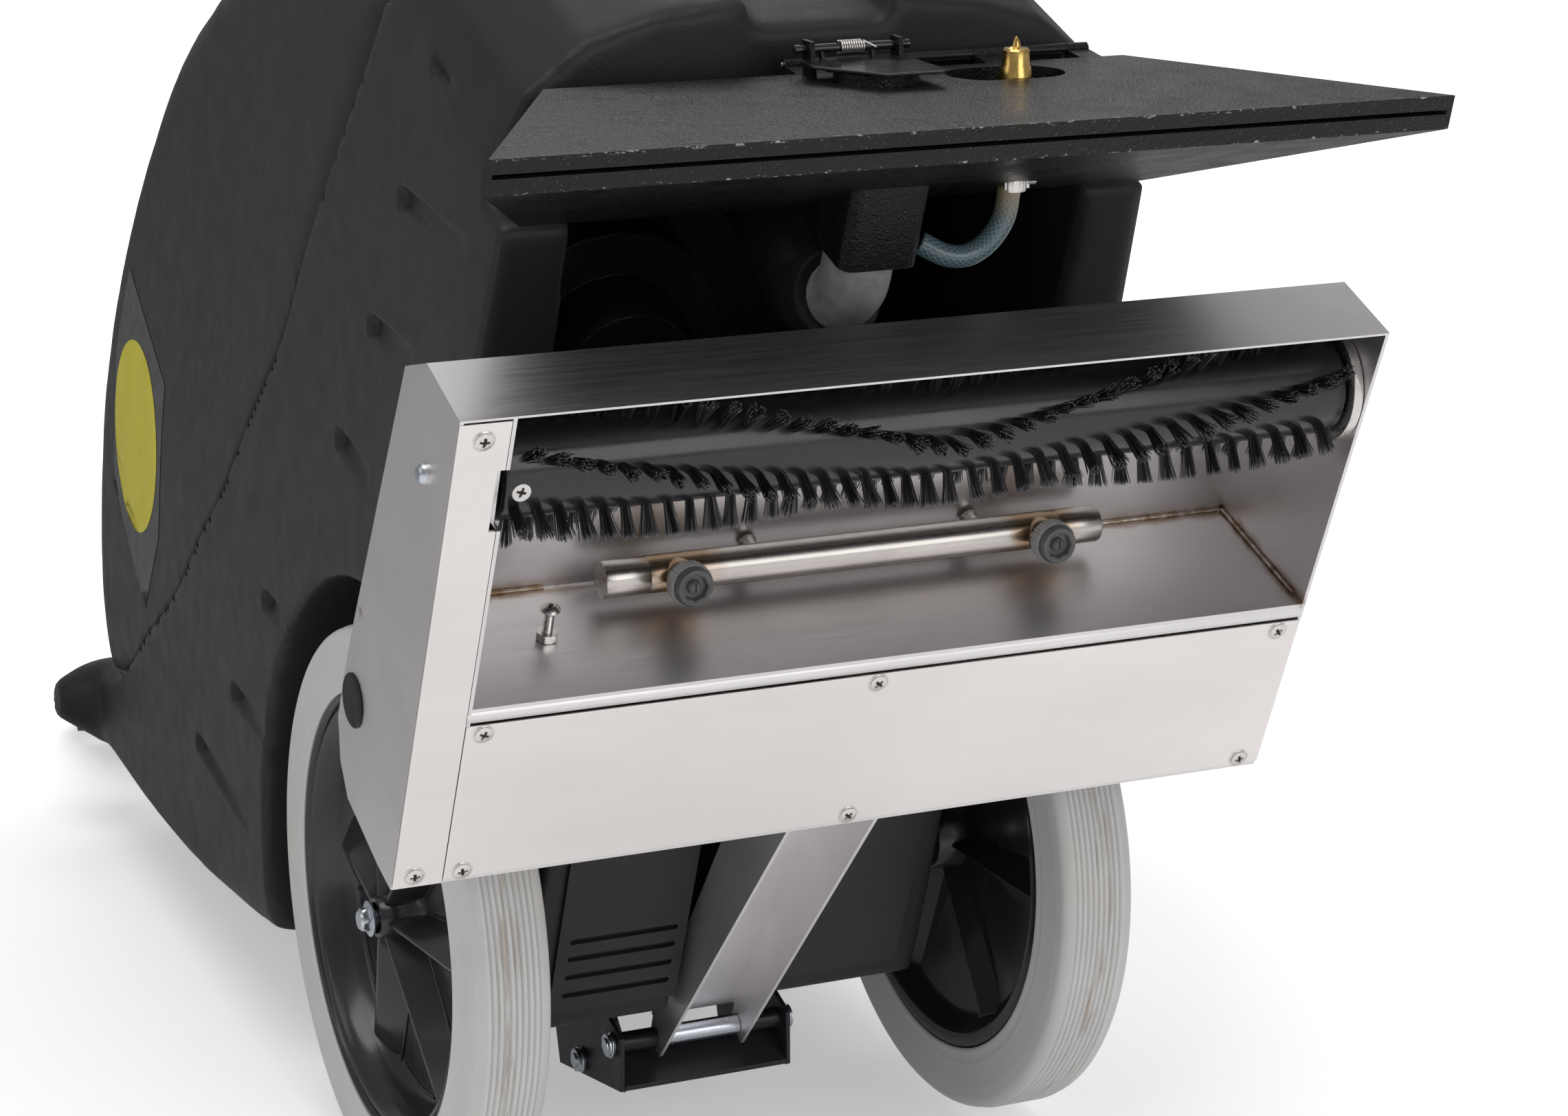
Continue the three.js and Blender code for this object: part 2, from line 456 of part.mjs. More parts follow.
function addSpray() {
  const { at: c, r, x0, x1, nozzles } = SPRAY;
  const aim = unit([0, 0], [0.3, -1]), off = t => along(c, aim, t);
  const boss = x => rod(at(x, c), at(x, off(13.4)), 7, 16);
  const post = x => rod(at(x, c), at(x, [c[0], 86.6]), 4, 12);
  add('spray_bar', join(bar(x0, x1, c, r, 24), boss(nozzles[0]), boss(nozzles[1]), post(-40),
    post(80)), stainless);
  nozzles.forEach((x, i) => {
    const tip = [[0, 0], [9.6, 0], [10.8, 2.4], [10.8, 8.4], [9, 13], [0, 13]];
    add(i ? 'nozzle_cap_right' : 'nozzle_cap_left', cut(turned(tip, at(x, off(13.7)),
      at(x, off(14.7)), 20), rod(at(x, off(23)), at(x, off(30)), 5, 12)), greyPlastic);
  });
  add('height_bolt', join(rod(at(-155, [234, 51]), at(-155, [263, 51]), 2.5, 12),
    rod(at(-155, [263, 51]), at(-155, [267, 51]), 4.8, 20, 3.4)), zinc);
  add('height_nut', cut(rod(at(-155, [246.3, 51]), at(-155, [250.5, 51]), 5.4, 6),
    rod(at(-155, [230, 51]), at(-155, [270, 51]), 2.8, 12)), zinc);
}

// Tapered stainless channel from the pivot to the back of the head.
function addArm() {
  const w = ARM_W, t = SHEET;
  const flange = [[-93, 112], [139.6, 19], [139.6, 66], [-77, 127.6], [-91, 127]];
  const web = [[-77, 127.6], [139.6, 66], [139.6, 68], [-77, 129.6]];
  const hole = bar(-60, 60, PIVOT, 4.4);
  add('arm_channel', cut(join(side(flange, -w, -w + t), side(flange, w - t, w),
    side(web, -w, w)), hole), stainless);
  add('pivot_sleeve', cut(bar(-w + t + GAP, w - t - GAP, PIVOT, 5.6), bar(-60, 60, PIVOT, 4.3)),
    zinc);
}

// ---- vacuum shoe --------------------------------------------------------------------------
const plateUp = unit(SLOT_FRONT, SHOE_TOP);
const plateOut = [plateUp[1], -plateUp[0]];
// Point on (or off) the front plate: s up from the slot edge, h proud of the plate.
const onPlate = (s, h = 0) => along(along(SLOT_FRONT, plateUp, s), plateOut, h);

// Wedge that narrows from the slot up to its back edge.
function wedge(profile, margin) {
  const geometry = side(profile, -1, 1);
  const p = geometry.attributes.position;
  for (let i = 0; i < p.count; i++) {
    const u = p.getZ(i);
    const half = SHOE_W - (SHOE_W - SHOE_BACK_W) * Math.max(u, -60) / SHOE_TOP[1] - margin;
    p.setX(i, p.getX(i) * half);
  }
  return geometry;
}

const knuckles = (list, r = 2.7) => list.map(([a, b]) => bar(a, b, SHOE_HINGE, r, 16));
const SHOE_KNUCKLES = [[-24, -8], [16, 39.6], [75.6, 92.6], [126.4, 138]];
const BODY_KNUCKLES = [[-7.6, 15.6], [40, 75.2], [93, 126]];

function addShoe() {
  const outer = wedge([SLOT_FRONT, SHOE_TOP, SHOE_BACK, SLOT_REAR], 0);
  const inner = wedge([[529.4, -30], [526, -30], [525, 2], [512, 18], [433, 124.6],
    [478.2, 142.5], [526.8, 6]], 2.6);
  const oval = (h0, h1, r) => join(...POCKET.x.map(x => rod(at(x, onPlate(POCKET.s, h0)),
    at(x, onPlate(POCKET.s, h1)), r, 24)), side([onPlate(POCKET.s - r, h0),
    onPlate(POCKET.s + r, h0), onPlate(POCKET.s + r, h1), onPlate(POCKET.s - r, h1)],
    ...POCKET.x));
  const bodyOnly = solid(wedge([SLOT_FRONT, SHOE_TOP, SHOE_BACK, SLOT_REAR], 0));
  const filled = join(cut(outer, inner), bodyOnly.intersect(oval(-70, -1, POCKET.r + 3)));
  const soft = NECK.round, low = NECK.u0 - 6;
  const neckEdges = [-1, 1].flatMap(s => [low + soft, NECK.u1 - soft].map(u =>
    rod(at(s * (NECK.w - soft), [NECK.f0, u]), at(s * (NECK.w - soft), [470, u]), soft, 20)));
  const neck = cut(join(box(-NECK.w, NECK.w, NECK.f0, 470, low + soft, NECK.u1 - soft),
    box(soft - NECK.w, NECK.w - soft, NECK.f0, 470, low, NECK.u1), ...neckEdges), inner);
  const duct = box(-NECK.w + 4, NECK.w - 4, NECK.f0 - 5, 478, NECK.u0, NECK.u1 - 5);
  const collar = rod(at(PORT.x, onPlate(PORT.s, -0.6)), at(PORT.x, onPlate(PORT.s, 5.2)),
    PORT.r + 3, 28);
  const ear = x => side([onPlate(FLAP.s - 8, -0.5), onPlate(FLAP.s + 2.5, -0.5),
    onPlate(FLAP.s + 4, FLAP.lift + 4), onPlate(FLAP.s - 5, FLAP.lift + 4)], x, x + 2.4);
  const tang = ([a, b]) => side([onPlate(150, -2.4), onPlate(156, 0), SHOE_HINGE,
    along(SHOE_HINGE, [-1, -0.3], 4)], a, b);
  const shoe = cut(join(filled, neck, collar, ear(FLAP.x0 + 3), ear(FLAP.x1 - 5.4),
    ...knuckles(SHOE_KNUCKLES), ...SHOE_KNUCKLES.map(tang)),
    duct, bar(-150, 150, SHOE_HINGE, 1.7),
    rod(at(PORT.x, onPlate(PORT.s, -8)), at(PORT.x, onPlate(PORT.s, 20)), PORT.r, 28),
    oval(-22, 20, POCKET.r),
    rod(at(CONNECT.x, onPlate(CONNECT.s, -90)), at(CONNECT.x, onPlate(CONNECT.s, 0)),
      CONNECT.r - 1.6),
    rod(at(CONNECT.x, onPlate(CONNECT.s, -90)), at(CONNECT.x, onPlate(CONNECT.s, -40)), 8, 20),
    bar(FLAP.x0 - 5, FLAP.x1 + 5, onPlate(FLAP.s, FLAP.lift), 2.6, 14));
  add('vac_shoe', shoe, blackPaint);
  const leaf = side([[474, 168.3], [452, 163.2], [452, 161.2], [477.6, 164.4], [479, 163.2],
    [480.8, 165.2]], -7.6, 126);
  const fixed = cut(join(...knuckles(BODY_KNUCKLES), leaf), ...SHOE_KNUCKLES.map(([a, b]) =>
    bar(a - 0.4, b + 0.4, SHOE_HINGE, 4.4)), bar(-150, 150, SHOE_HINGE, 1.7));
  add('shoe_hinge', fixed, blackPaint);
  add('shoe_hinge_pin', bar(-25, 139, SHOE_HINGE, 1.4, 14), zinc);
}

function addFlap() {
  const outline = [[FLAP.x0 + 0.5, FLAP.s], [FLAP.x1 - 0.5, FLAP.s], [FLAP.x1 - 1, 104],
    [-4, 104], [FLAP.x0 - 2, 136]];
  const plate = h => outline.map(([x, s]) => at(x, onPlate(s, h)));
  const barrel = bar(FLAP.x0 - 3, FLAP.x1 + 3, onPlate(FLAP.s, FLAP.lift), 2.2, 14);
  const rings = [plate(5.6), plate(7.2)];
  const lug = x => side([onPlate(FLAP.s - 4, 5.8), onPlate(FLAP.s, 5.8),
    onPlate(FLAP.s + 1, FLAP.lift), onPlate(FLAP.s - 1, FLAP.lift)], x, x + 2);
  const trimmed = cut(loft(rings), side([onPlate(FLAP.s - 10, 0), onPlate(FLAP.s + 9, 0),
    onPlate(FLAP.s + 9, 20), onPlate(FLAP.s - 10, 20)], FLAP.x0 + 2.4, FLAP.x0 + 6),
    side([onPlate(FLAP.s - 10, 0), onPlate(FLAP.s + 9, 0), onPlate(FLAP.s + 9, 20),
      onPlate(FLAP.s - 10, 20)], FLAP.x1 - 6, FLAP.x1 - 2.4));
  add('port_flap', join(trimmed, barrel, lug(-14), lug(12)), blackPaint);
  add('flap_spring', cut(bar(-5, 9, onPlate(FLAP.s, FLAP.lift), 4.2, 18),
    bar(-20, 20, onPlate(FLAP.s, FLAP.lift), 2.5, 14)), stainless);
}

function addConnector() {
  const foot = onPlate(CONNECT.s, -46), r = CONNECT.r;
  const profile = [[0, 0], [3.2, 0], [4.2, 3], [3.6, 10], [5.6, 10], [5.6, 25], [r - 0.2, 26],
    [r + 0.1, 46], [r - 0.8, 50], [6.4, 58], [5.8, 59], [2.4, 59], [1.2, 64], [0, 64.4]];
  add('quick_connect', turned(profile, at(CONNECT.x, foot), at(CONNECT.x, onPlate(CONNECT.s, 0)),
    24), brass);
  add('supply_hose', pipe([at(CONNECT.x, onPlate(CONNECT.s, -46.8)), at(69.5, [444, 94]),
    at(67, [432, 90]), at(60, [421, 88]), at(50, [414.8, 87.4]), at(39, [414.8, 89]),
    at(27.5, [419, 95])], 5.6, 16, 12), clearHose);
}

// ---- handle -------------------------------------------------------------------------------
function addHandle() {
  const d = unit(LEG_FOOT, LEG_TOP), bend = 46;
  const foot = along(LEG_FOOT, d, 3), knee = along(LEG_TOP, d, -bend);
  const corner = s => [1, 2, 3, 4].map(i => {
    const a = i / 4 * Math.PI / 2;
    return at(s * (LEG_X - bend + bend * Math.cos(a)), along(knee, d, bend * Math.sin(a)));
  });
  const route = [at(-LEG_X, foot), at(-LEG_X, lerp(foot, knee, 0.5)), at(-LEG_X, knee),
    ...corner(-1), at(0, LEG_TOP), ...corner(1).reverse(), at(LEG_X, knee),
    at(LEG_X, lerp(foot, knee, 0.5)), at(LEG_X, foot)];
  add('handle_tube', pipe(route, LEG_R, 24, 12), blackPaint);
  for (const [name, s] of [['left', -1], ['right', 1]]) {
    const x = [s * 16, s * 70].sort((a, b) => a - b);
    add('grip_' + name, cut(bar(x[0], x[1], LEG_TOP, GRIP_R, 24), bar(-90, 90, LEG_TOP, LEG_R + 0.8)),
      blackRubber);
  }
  const out = [d[1], -d[0]], top = along(LEG_TOP, d, -50);
  const quad = (s0, s1, h) => [along(along(top, d, s0), out, -h), along(along(top, d, s1), out, -h),
    along(along(top, d, s1), out, h), along(along(top, d, s0), out, h)];
  const legs = [-1, 1].map(s => rod(at(s * LEG_X, LEG_FOOT), at(s * LEG_X, LEG_TOP), LEG_R + 0.8));
  const pockets = [-50, 0, 50].map(x => side(quad(-14, 10, 9.8), x - 8, x + 8));
  add('switch_box', cut(side(quad(-70, 0, 21), -LEG_X - 4, LEG_X + 4), ...legs, ...pockets,
    rod(at(-80, along(top, d, -90)), at(-80, along(top, d, -55)), 9.4, 20)), glossPlastic);
  ['brush', 'vacuum', 'pump'].forEach((use, i) => {
    const x = -50 + i * 50, c = along(top, d, -5);
    const seat = [[-8.4, -4], [8.4, -4], [8.4, 6], [0, 8.4], [-8.4, 6]].map(([a, b]) =>
      along(along(c, out, a), d, b));
    add('rocker_' + use, side(seat, x - 7.4, x + 7.4), glossPlastic);
  });
  add('mains_inlet', turned([[0, 0], [6, 0], [9, 4], [9, 12], [13, 12.4], [13, 17], [9, 17], [9, 27],
    [0, 27]], at(-80, along(top, d, -87)), at(-80, along(top, d, -60))), blackRubber);
}

addLowerTank();
addRecoveryTank();
addLid();
addCap('fill_cap', 0, FILL.foot, FILL.mouth, FILL.r);
addCap('drain_cap', -70, DRAIN.foot, DRAIN.mouth, DRAIN.r);
addUnderbody();
addBay();
addWheel('left', -1);
addWheel('right', 1);
addAxle();
addLift();
addHeadShell();
addCovers();
addBrush();
addDrive();
addSpray();
addArm();
addShoe();
addFlap();
addConnector();
addHandle();

// Lean back about the axle, stand on the ground and centre.
const lean = new THREE.Matrix4().makeTranslation(0, 0, WHEEL_R)
  .multiply(new THREE.Matrix4().makeRotationX(-LEAN * Math.PI / 180))
  .multiply(new THREE.Matrix4().makeTranslation(0, 0, -WHEEL_R));
machine.children.forEach(mesh => mesh.geometry.applyMatrix4(lean));
const bounds = new THREE.Box3().setFromObject(machine);
const centre = bounds.getCenter(new THREE.Vector3());
machine.children.forEach(mesh => {
  mesh.geometry.translate(-centre.x, -centre.y, -bounds.min.z);
  mesh.geometry.computeVertexNormals();
});

export default machine;
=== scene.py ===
"""Walk-behind carpet extractor tipped back on its wheels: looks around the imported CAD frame.

Shapes are drawn in the machine's own coordinates, in millimetres: x across, F forward and
U up from the working floor. place() leans them into the frame's metres.
"""

import random
from math import copysign, cos, hypot, pi, radians, sin, sqrt

import bmesh
import bpy
import numpy as np
from mathutils import Matrix, Vector


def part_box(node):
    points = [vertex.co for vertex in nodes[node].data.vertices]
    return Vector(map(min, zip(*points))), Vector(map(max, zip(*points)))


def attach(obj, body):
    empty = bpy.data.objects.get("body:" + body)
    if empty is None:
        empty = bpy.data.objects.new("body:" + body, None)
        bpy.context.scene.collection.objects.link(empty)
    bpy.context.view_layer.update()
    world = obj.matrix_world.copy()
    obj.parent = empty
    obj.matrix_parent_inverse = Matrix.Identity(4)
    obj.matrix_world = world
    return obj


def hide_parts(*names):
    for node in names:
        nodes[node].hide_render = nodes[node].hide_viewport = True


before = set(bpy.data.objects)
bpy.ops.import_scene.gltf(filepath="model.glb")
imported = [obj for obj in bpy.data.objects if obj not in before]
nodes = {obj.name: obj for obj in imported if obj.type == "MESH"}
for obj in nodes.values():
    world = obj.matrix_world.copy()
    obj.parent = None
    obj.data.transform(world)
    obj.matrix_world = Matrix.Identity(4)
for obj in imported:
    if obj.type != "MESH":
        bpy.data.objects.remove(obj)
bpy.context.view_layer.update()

# ---- machine coordinates
LEAN = radians(69.02)
WHEEL_R, WHEEL_X, TYRE_W, RIM_R = 152.4, 162.3, 41.0, 118.4
AXLE = (0.0, WHEEL_R)
BRUSH = {"at": (362, 29), "core": 24.0, "tip": 39.4, "x0": -206.0, "x1": 226.0}
CHEVRON = {"rows": 6, "middle": 12.0, "start": radians(-101), "twist": 0.0075,
           "pitch": 11.2, "strands": 44, "tuft": 2.3}
SPRAY = {"at": (262.5, 70), "r": 9.2, "x0": -123.0, "x1": 143.0, "nozzles": (-85.0, 109.0)}
ROLLER_SCREW = -93.0                       # degrees round the roller
TYRE_TURN, TREAD_RIBS, SPOKES = 180, 9, 6  # facets and ribs of a tyre, spokes of a hub
SHOE_LIPS = (534.5, 517.5)                 # F of the shoe's two slot lips
WALL_FOOT, WALL_END = (247.0, 88.0), 231.5  # (F, U) foot and right end of the chamber wall
_low, _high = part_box("wheel_axle")
CENTRE = (_low + _high) / 2
MACHINE = (Matrix.Translation(CENTRE) @ Matrix.Rotation(-LEAN, 4, "X")
           @ Matrix.Translation((0, 0, -WHEEL_R / 1000)))


def place(x, f, u):
    """A machine point in the frame's metres."""
    return MACHINE @ Vector((x / 1000, -f / 1000, u / 1000))


def lerp(a, b, t):
    return tuple(p + (q - p) * t for p, q in zip(a, b))


def unit(a, b):
    d = [q - p for p, q in zip(a, b)]
    n = hypot(*d)
    return tuple(c / n for c in d)


def along(p, d, t):
    return tuple(a + b * t for a, b in zip(p, d))


# ---- shapes: each is (vertices, faces) in machine millimetres, vertices as (x, f, u)
def prism(outline, x0, x1):
    """Side profile of (F, U) points drawn out across the machine."""
    n = len(outline)
    verts = [(x, f, u) for x in (x0, x1) for f, u in outline]
    faces = [tuple(range(n))[::-1], tuple(range(n, 2 * n))]
    faces += [(i, (i + 1) % n, n + (i + 1) % n, n + i) for i in range(n)]
    return verts, faces


def block(x0, x1, f0, f1, u0, u1):
    return prism([(f0, u0), (f1, u0), (f1, u1), (f0, u1)], x0, x1)


def rings_to_mesh(rings, closed=False):
    """Skin through equal rings of points, its ends capped or, if closed, joined."""
    n = len(rings[0])
    verts = [p for ring in rings for p in ring]
    faces = []
    last = len(rings) if closed else len(rings) - 1
    for i in range(last):
        a, b = i * n, ((i + 1) % len(rings)) * n
        faces += [(a + j, a + (j + 1) % n, b + (j + 1) % n, b + j) for j in range(n)]
    if not closed:
        faces += [tuple(range(n))[::-1], tuple(range((len(rings) - 1) * n, len(rings) * n))]
    return verts, faces


def turns(n, start=0.0):
    """n angles evenly spread round a circle."""
    return [start + 2 * pi * j / n for j in range(n)]


CORNERS = ((-1, -1), (1, -1), (1, 1), (-1, 1))


def axes(d):
    """Two unit vectors square to d."""
    d = Vector(d).normalized()
    side = Vector((1, 0, 0)) if abs(d.x) < 0.9 else Vector((0, 1, 0))
    e1 = (side - d * side.dot(d)).normalized()
    return e1, d.cross(e1)


def lathe(profile, a, b, n=48, wave=None, closed=False):
    """(radius, distance) pairs turned about the line from a towards b, with flat ends or,
    if closed, back round to the first pair. wave(angle, radius, distance) may change a
    radius."""
    a, b = Vector(a), Vector(b)
    d = (b - a).normalized()
    e1, e2 = axes(d)
    rings = []
    for r, s in profile:
        rings.append([tuple(a + d * s + (e1 * cos(t) + e2 * sin(t))
                            * max(wave(t, r, s) if wave else r, 0.01)) for t in turns(n)])
    return rings_to_mesh(rings, closed)


def flutes(count, depth, low, high, least):
    """Lathe wave: count flutes between two distances, where the radius is over least."""
    def wave(t, radius, d):
        if low < d < high and radius > least:
            return radius - depth * (0.5 + 0.5 * cos(count * t))
        return radius
    return wave


def flat_sided(n, t):
    """Reach at angle t of a section with n flat sides, 1 at its corners."""
    return cos(pi / n) / cos((t % (2 * pi / n)) - pi / n)


def hexagon(corner, low, high, least):
    """Lathe wave: trims to a hexagon between two distances, where the radius is over least."""
    def wave(t, radius, d):
        if low < d < high and radius > least:
            return min(radius, corner * flat_sided(6, t))
        return radius
    return wave


def curve(points, steps=8):
    """Smooth line through points, as a list of points."""
    p = [Vector(q) for q in points]
    p = [p[0] * 2 - p[1]] + p + [p[-1] * 2 - p[-2]]
    out = []
    for i in range(1, len(p) - 2):
        for k in range(steps):
            t = k / steps
            out.append(0.5 * (2 * p[i] + (p[i + 1] - p[i - 1]) * t
                              + (2 * p[i - 1] - 5 * p[i] + 4 * p[i + 1] - p[i + 2]) * t * t
                              + (3 * p[i] - p[i - 1] - 3 * p[i + 1] + p[i + 2]) * t ** 3))
    return [tuple(q) for q in out + [p[-2]]]


def tube(points, radius, n=12, closed=False):
    """Round section swept along points with a frame that doesn't twist."""
    p = [Vector(q) for q in points]
    count = len(p)
    rings, e1 = [], None
    for i, q in enumerate(p):
        if closed:
            d = (p[(i + 1) % count] - p[i - 1]).normalized()
        else:
            d = (p[min(i + 1, count - 1)] - p[max(i - 1, 0)]).normalized()
        e1 = axes(d)[0] if e1 is None else (e1 - d * e1.dot(d)).normalized()
        e2 = d.cross(e1)
        r = radius[i] if isinstance(radius, (list, tuple)) else radius
        rings.append([tuple(q + e1 * r * cos(t) + e2 * r * sin(t)) for t in turns(n)])
    return rings_to_mesh(rings, closed=closed)


def rod(a, b, r, n=24, chamfer=0.0):
    length = (Vector(b) - Vector(a)).length
    ends = [(r - chamfer, 0), (r, chamfer), (r, length - chamfer), (r - chamfer, length)]
    return lathe(ends if chamfer else ends[1:3], a, b, n)


def join(*shapes):
    """Several shapes as one."""
    verts, faces = [], []
    for v, f in shapes:
        base = len(verts)
        verts += list(v)
        faces += [tuple(base + i for i in face) for face in f]
    return verts, faces


# ---- pieces
def new_object(name, shape, put=place):
    """A mesh object; put turns one of the shape's vertices into metres."""
    verts, faces = shape
    mesh = bpy.data.meshes.new(name)
    mesh.from_pydata([tuple(put(*v)) for v in verts], [], faces)
    mesh.validate()
    obj = bpy.data.objects.new(name, mesh)
    bpy.context.scene.collection.objects.link(obj)
    return obj


def clean_mesh(mesh, merge, smooth=None):
    """Welds, turns faces outward and, with an angle in degrees, shades smooth up to it."""
    bm = bmesh.new()
    bm.from_mesh(mesh)
    bmesh.ops.remove_doubles(bm, verts=bm.verts, dist=merge)
    bmesh.ops.recalc_face_normals(bm, faces=bm.faces)
    if smooth is not None:
        for face in bm.faces:
            face.smooth = True
        for edge in bm.edges:
            edge.smooth = (len(edge.link_faces) == 2
                           and edge.calc_face_angle(0) < radians(smooth))
    bm.to_mesh(mesh)
    bm.free()


def piece(name, shape, material, body, replaces=(), smooth=35, bevel=0.0, segments=2):
    """A finished piece: shape, rounded edges, material, body and the nodes it stands for."""
    obj = new_object(name, shape)
    clean_mesh(obj.data, 2e-6, 180 if bevel else smooth)
    if bevel:
        add_bevel(obj, bevel, segments)
    return finish_piece(obj, material, body, replaces)


def point_values(obj, **named):
    """Numbers on the vertices for a material to read."""
    for name, values in named.items():
        obj.data.attributes.new(name, "FLOAT", "POINT").data.foreach_set("value", values)


def finish_piece(obj, material, body, replaces=()):
    obj.data.materials.clear()
    obj.data.materials.append(material)
    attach(obj, body)
    if replaces:
        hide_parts(*replaces)
    return obj


def add_bevel(obj, width, segments=2, angle=30):
    """Rounded edges with clean shading on flat faces."""
    bevel = obj.modifiers.new("edge", "BEVEL")
    bevel.width = width / 1000
    bevel.segments = segments
    bevel.limit_method = "ANGLE"
    bevel.angle_limit = radians(angle)
    bevel.use_clamp_overlap = True
    normals = obj.modifiers.new("normals", "WEIGHTED_NORMAL")
    normals.keep_sharp = False


def carry(node, material, bevel, segments, angle):
    """Keeps a CAD node, with a better material and rounded edges."""
    obj = nodes[node]
    for k in range(len(obj.data.materials)):
        obj.data.materials[k] = material
    if not obj.data.materials:
        obj.data.materials.append(material)
    for name in ("custom_normal", "sharp_edge", "sharp_face"):
        if name in obj.data.attributes:
            obj.data.attributes.remove(obj.data.attributes[name])
    obj.data.polygons.foreach_set("use_smooth", [True] * len(obj.data.polygons))
    weld = obj.modifiers.new("weld", "WELD")
    weld.merge_threshold = 5e-6
    flat = obj.modifiers.new("flat", "DECIMATE")
    flat.decimate_type = "DISSOLVE"
    flat.angle_limit = radians(0.8)
    add_bevel(obj, bevel, segments, angle)


# ---- materials
class Shader:
    """Node material in the row frame's metres, around one Principled shader."""

    def __init__(self, name, color, metallic=0.0, rough=0.5, **sockets):
        self.material = bpy.data.materials.new(name)
        self.material.use_nodes = True
        self.tree = self.material.node_tree
        self.main = self.tree.nodes["Principled BSDF"]
        self.main.inputs["Base Color"].default_value = (*color, 1)
        self.main.inputs["Metallic"].default_value = metallic
        self.main.inputs["Roughness"].default_value = rough
        for key, value in sockets.items():
            self.main.inputs[key.replace("_", " ")].default_value = value
        self.where = self.node("ShaderNodeTexCoord").outputs["Object"]
        self.height = None

    def node(self, kind, links=None, **settings):
        n = self.tree.nodes.new(kind)
        for key, value in settings.items():
            setattr(n, key, value)
        for key, value in (links or {}).items():
            if isinstance(value, bpy.types.NodeSocket):
                self.tree.links.new(value, n.inputs[key])
            else:
                n.inputs[key].default_value = value
        return n

    def scaled(self, scale):
        """Coordinates stretched per axis."""
        return self.node("ShaderNodeMapping", {"Vector": self.where, "Scale": scale}
                         ).outputs["Vector"]

    def noise(self, scale, detail=2.0, stretch=None, rough=0.5):
        where = self.scaled(stretch) if stretch else self.where
        return self.node("ShaderNodeTexNoise", {"Vector": where, "Scale": scale,
                                                "Detail": detail, "Roughness": rough}
                         ).outputs["Fac"]

    def ramp(self, value, low, high, to_low=0.0, to_high=1.0):
        return self.node("ShaderNodeMapRange", {"Value": value, "From Min": low,
                                                "From Max": high, "To Min": to_low,
                                                "To Max": to_high}).outputs["Result"]

    def math(self, operation, a, b=0.0):
        return self.node("ShaderNodeMath", {0: a, 1: b}, operation=operation).outputs[0]

    def mix(self, share, a, b):
        """Mix of two colours, each a tuple or a socket."""
        n = self.node("ShaderNodeMix", data_type="RGBA")
        for key, value in ((0, share), (6, a), (7, b)):
            if isinstance(value, bpy.types.NodeSocket):
                self.tree.links.new(value, n.inputs[key])
            else:
                n.inputs[key].default_value = (*value, 1) if key else value
        return n.outputs[2]

    def gap(self, a, b):
        """How far apart two values are."""
        return self.math("ABSOLUTE", self.math("SUBTRACT", a, b))

    def patches(self, scale, detail, low, high, a, b):
        """Two colours mixed in soft patches."""
        return self.mix(self.ramp(self.noise(scale, detail), low, high), a, b)

    def finish(self, color, lines, low, high, smooth, dull):
        """Colour, and a roughness that varies with a noise."""
        self.set("Base Color", color)
        self.set("Roughness", self.ramp(lines, low, high, smooth, dull))

    def set(self, socket, value):
        self.tree.links.new(value, self.main.inputs[socket])

    def bump(self, height, depth):
        """Adds a height in millimetres."""
        links = {"Height": height, "Distance": depth / 1000, "Strength": 1.0}
        if self.height is not None:
            links["Normal"] = self.height
        self.height = self.node("ShaderNodeBump", links).outputs["Normal"]
        self.set("Normal", self.height)

    def machine(self):
        """F and U in millimetres as sockets."""
        inverse = MACHINE.inverted()
        row_f = [-c * 1000 for c in inverse[1]]
        row_u = [c * 1000 for c in inverse[2]]
        out = []
        for row in (row_f, row_u):
            dot = self.node("ShaderNodeVectorMath", {0: self.where, 1: tuple(row[:3])},
                            operation="DOT_PRODUCT").outputs["Value"]
            out.append(self.math("ADD", dot, row[3]))
        return out

    def across(self):
        """x in millimetres as a socket."""
        x = self.node("ShaderNodeSeparateXYZ", {"Vector": self.where}).outputs["X"]
        return self.math("MULTIPLY", x, 1000.0)


def shade(color, share):
    return tuple(c * share for c in color)


def gray(v, tint=(1.0, 1.0, 1.0)):
    return shade(tint, v)


COOL = (1.0, 0.97, 1.10)  # the blacks lean to violet


def simple(name, color, patches, dulls, bumps, **settings):
    """A material from soft colour patches, a roughness that wanders and bumps: noises are
    (scale, detail), followed by what they span."""
    s = Shader(name, color, **settings)
    s.finish(s.patches(*patches), s.noise(*dulls[:2]), *dulls[2:])
    for scale, detail, depth in bumps:
        s.bump(s.noise(scale, detail), depth)
    return s.material


def tank_plastic():
    """Rotomoulded polyethylene: fine orange peel over a faint cloudiness."""
    return simple("tank_polyethylene", gray(0.0245, COOL),
                  (11, 3, 0.3, 0.7, gray(0.0225, COOL), gray(0.0265, COOL)),
                  (60, 3, 0.3, 0.75, 0.38, 0.48), [(620, 2, 0.13), (28, 2, 0.12)],
                  rough=0.40, Specular_IOR_Level=0.24)


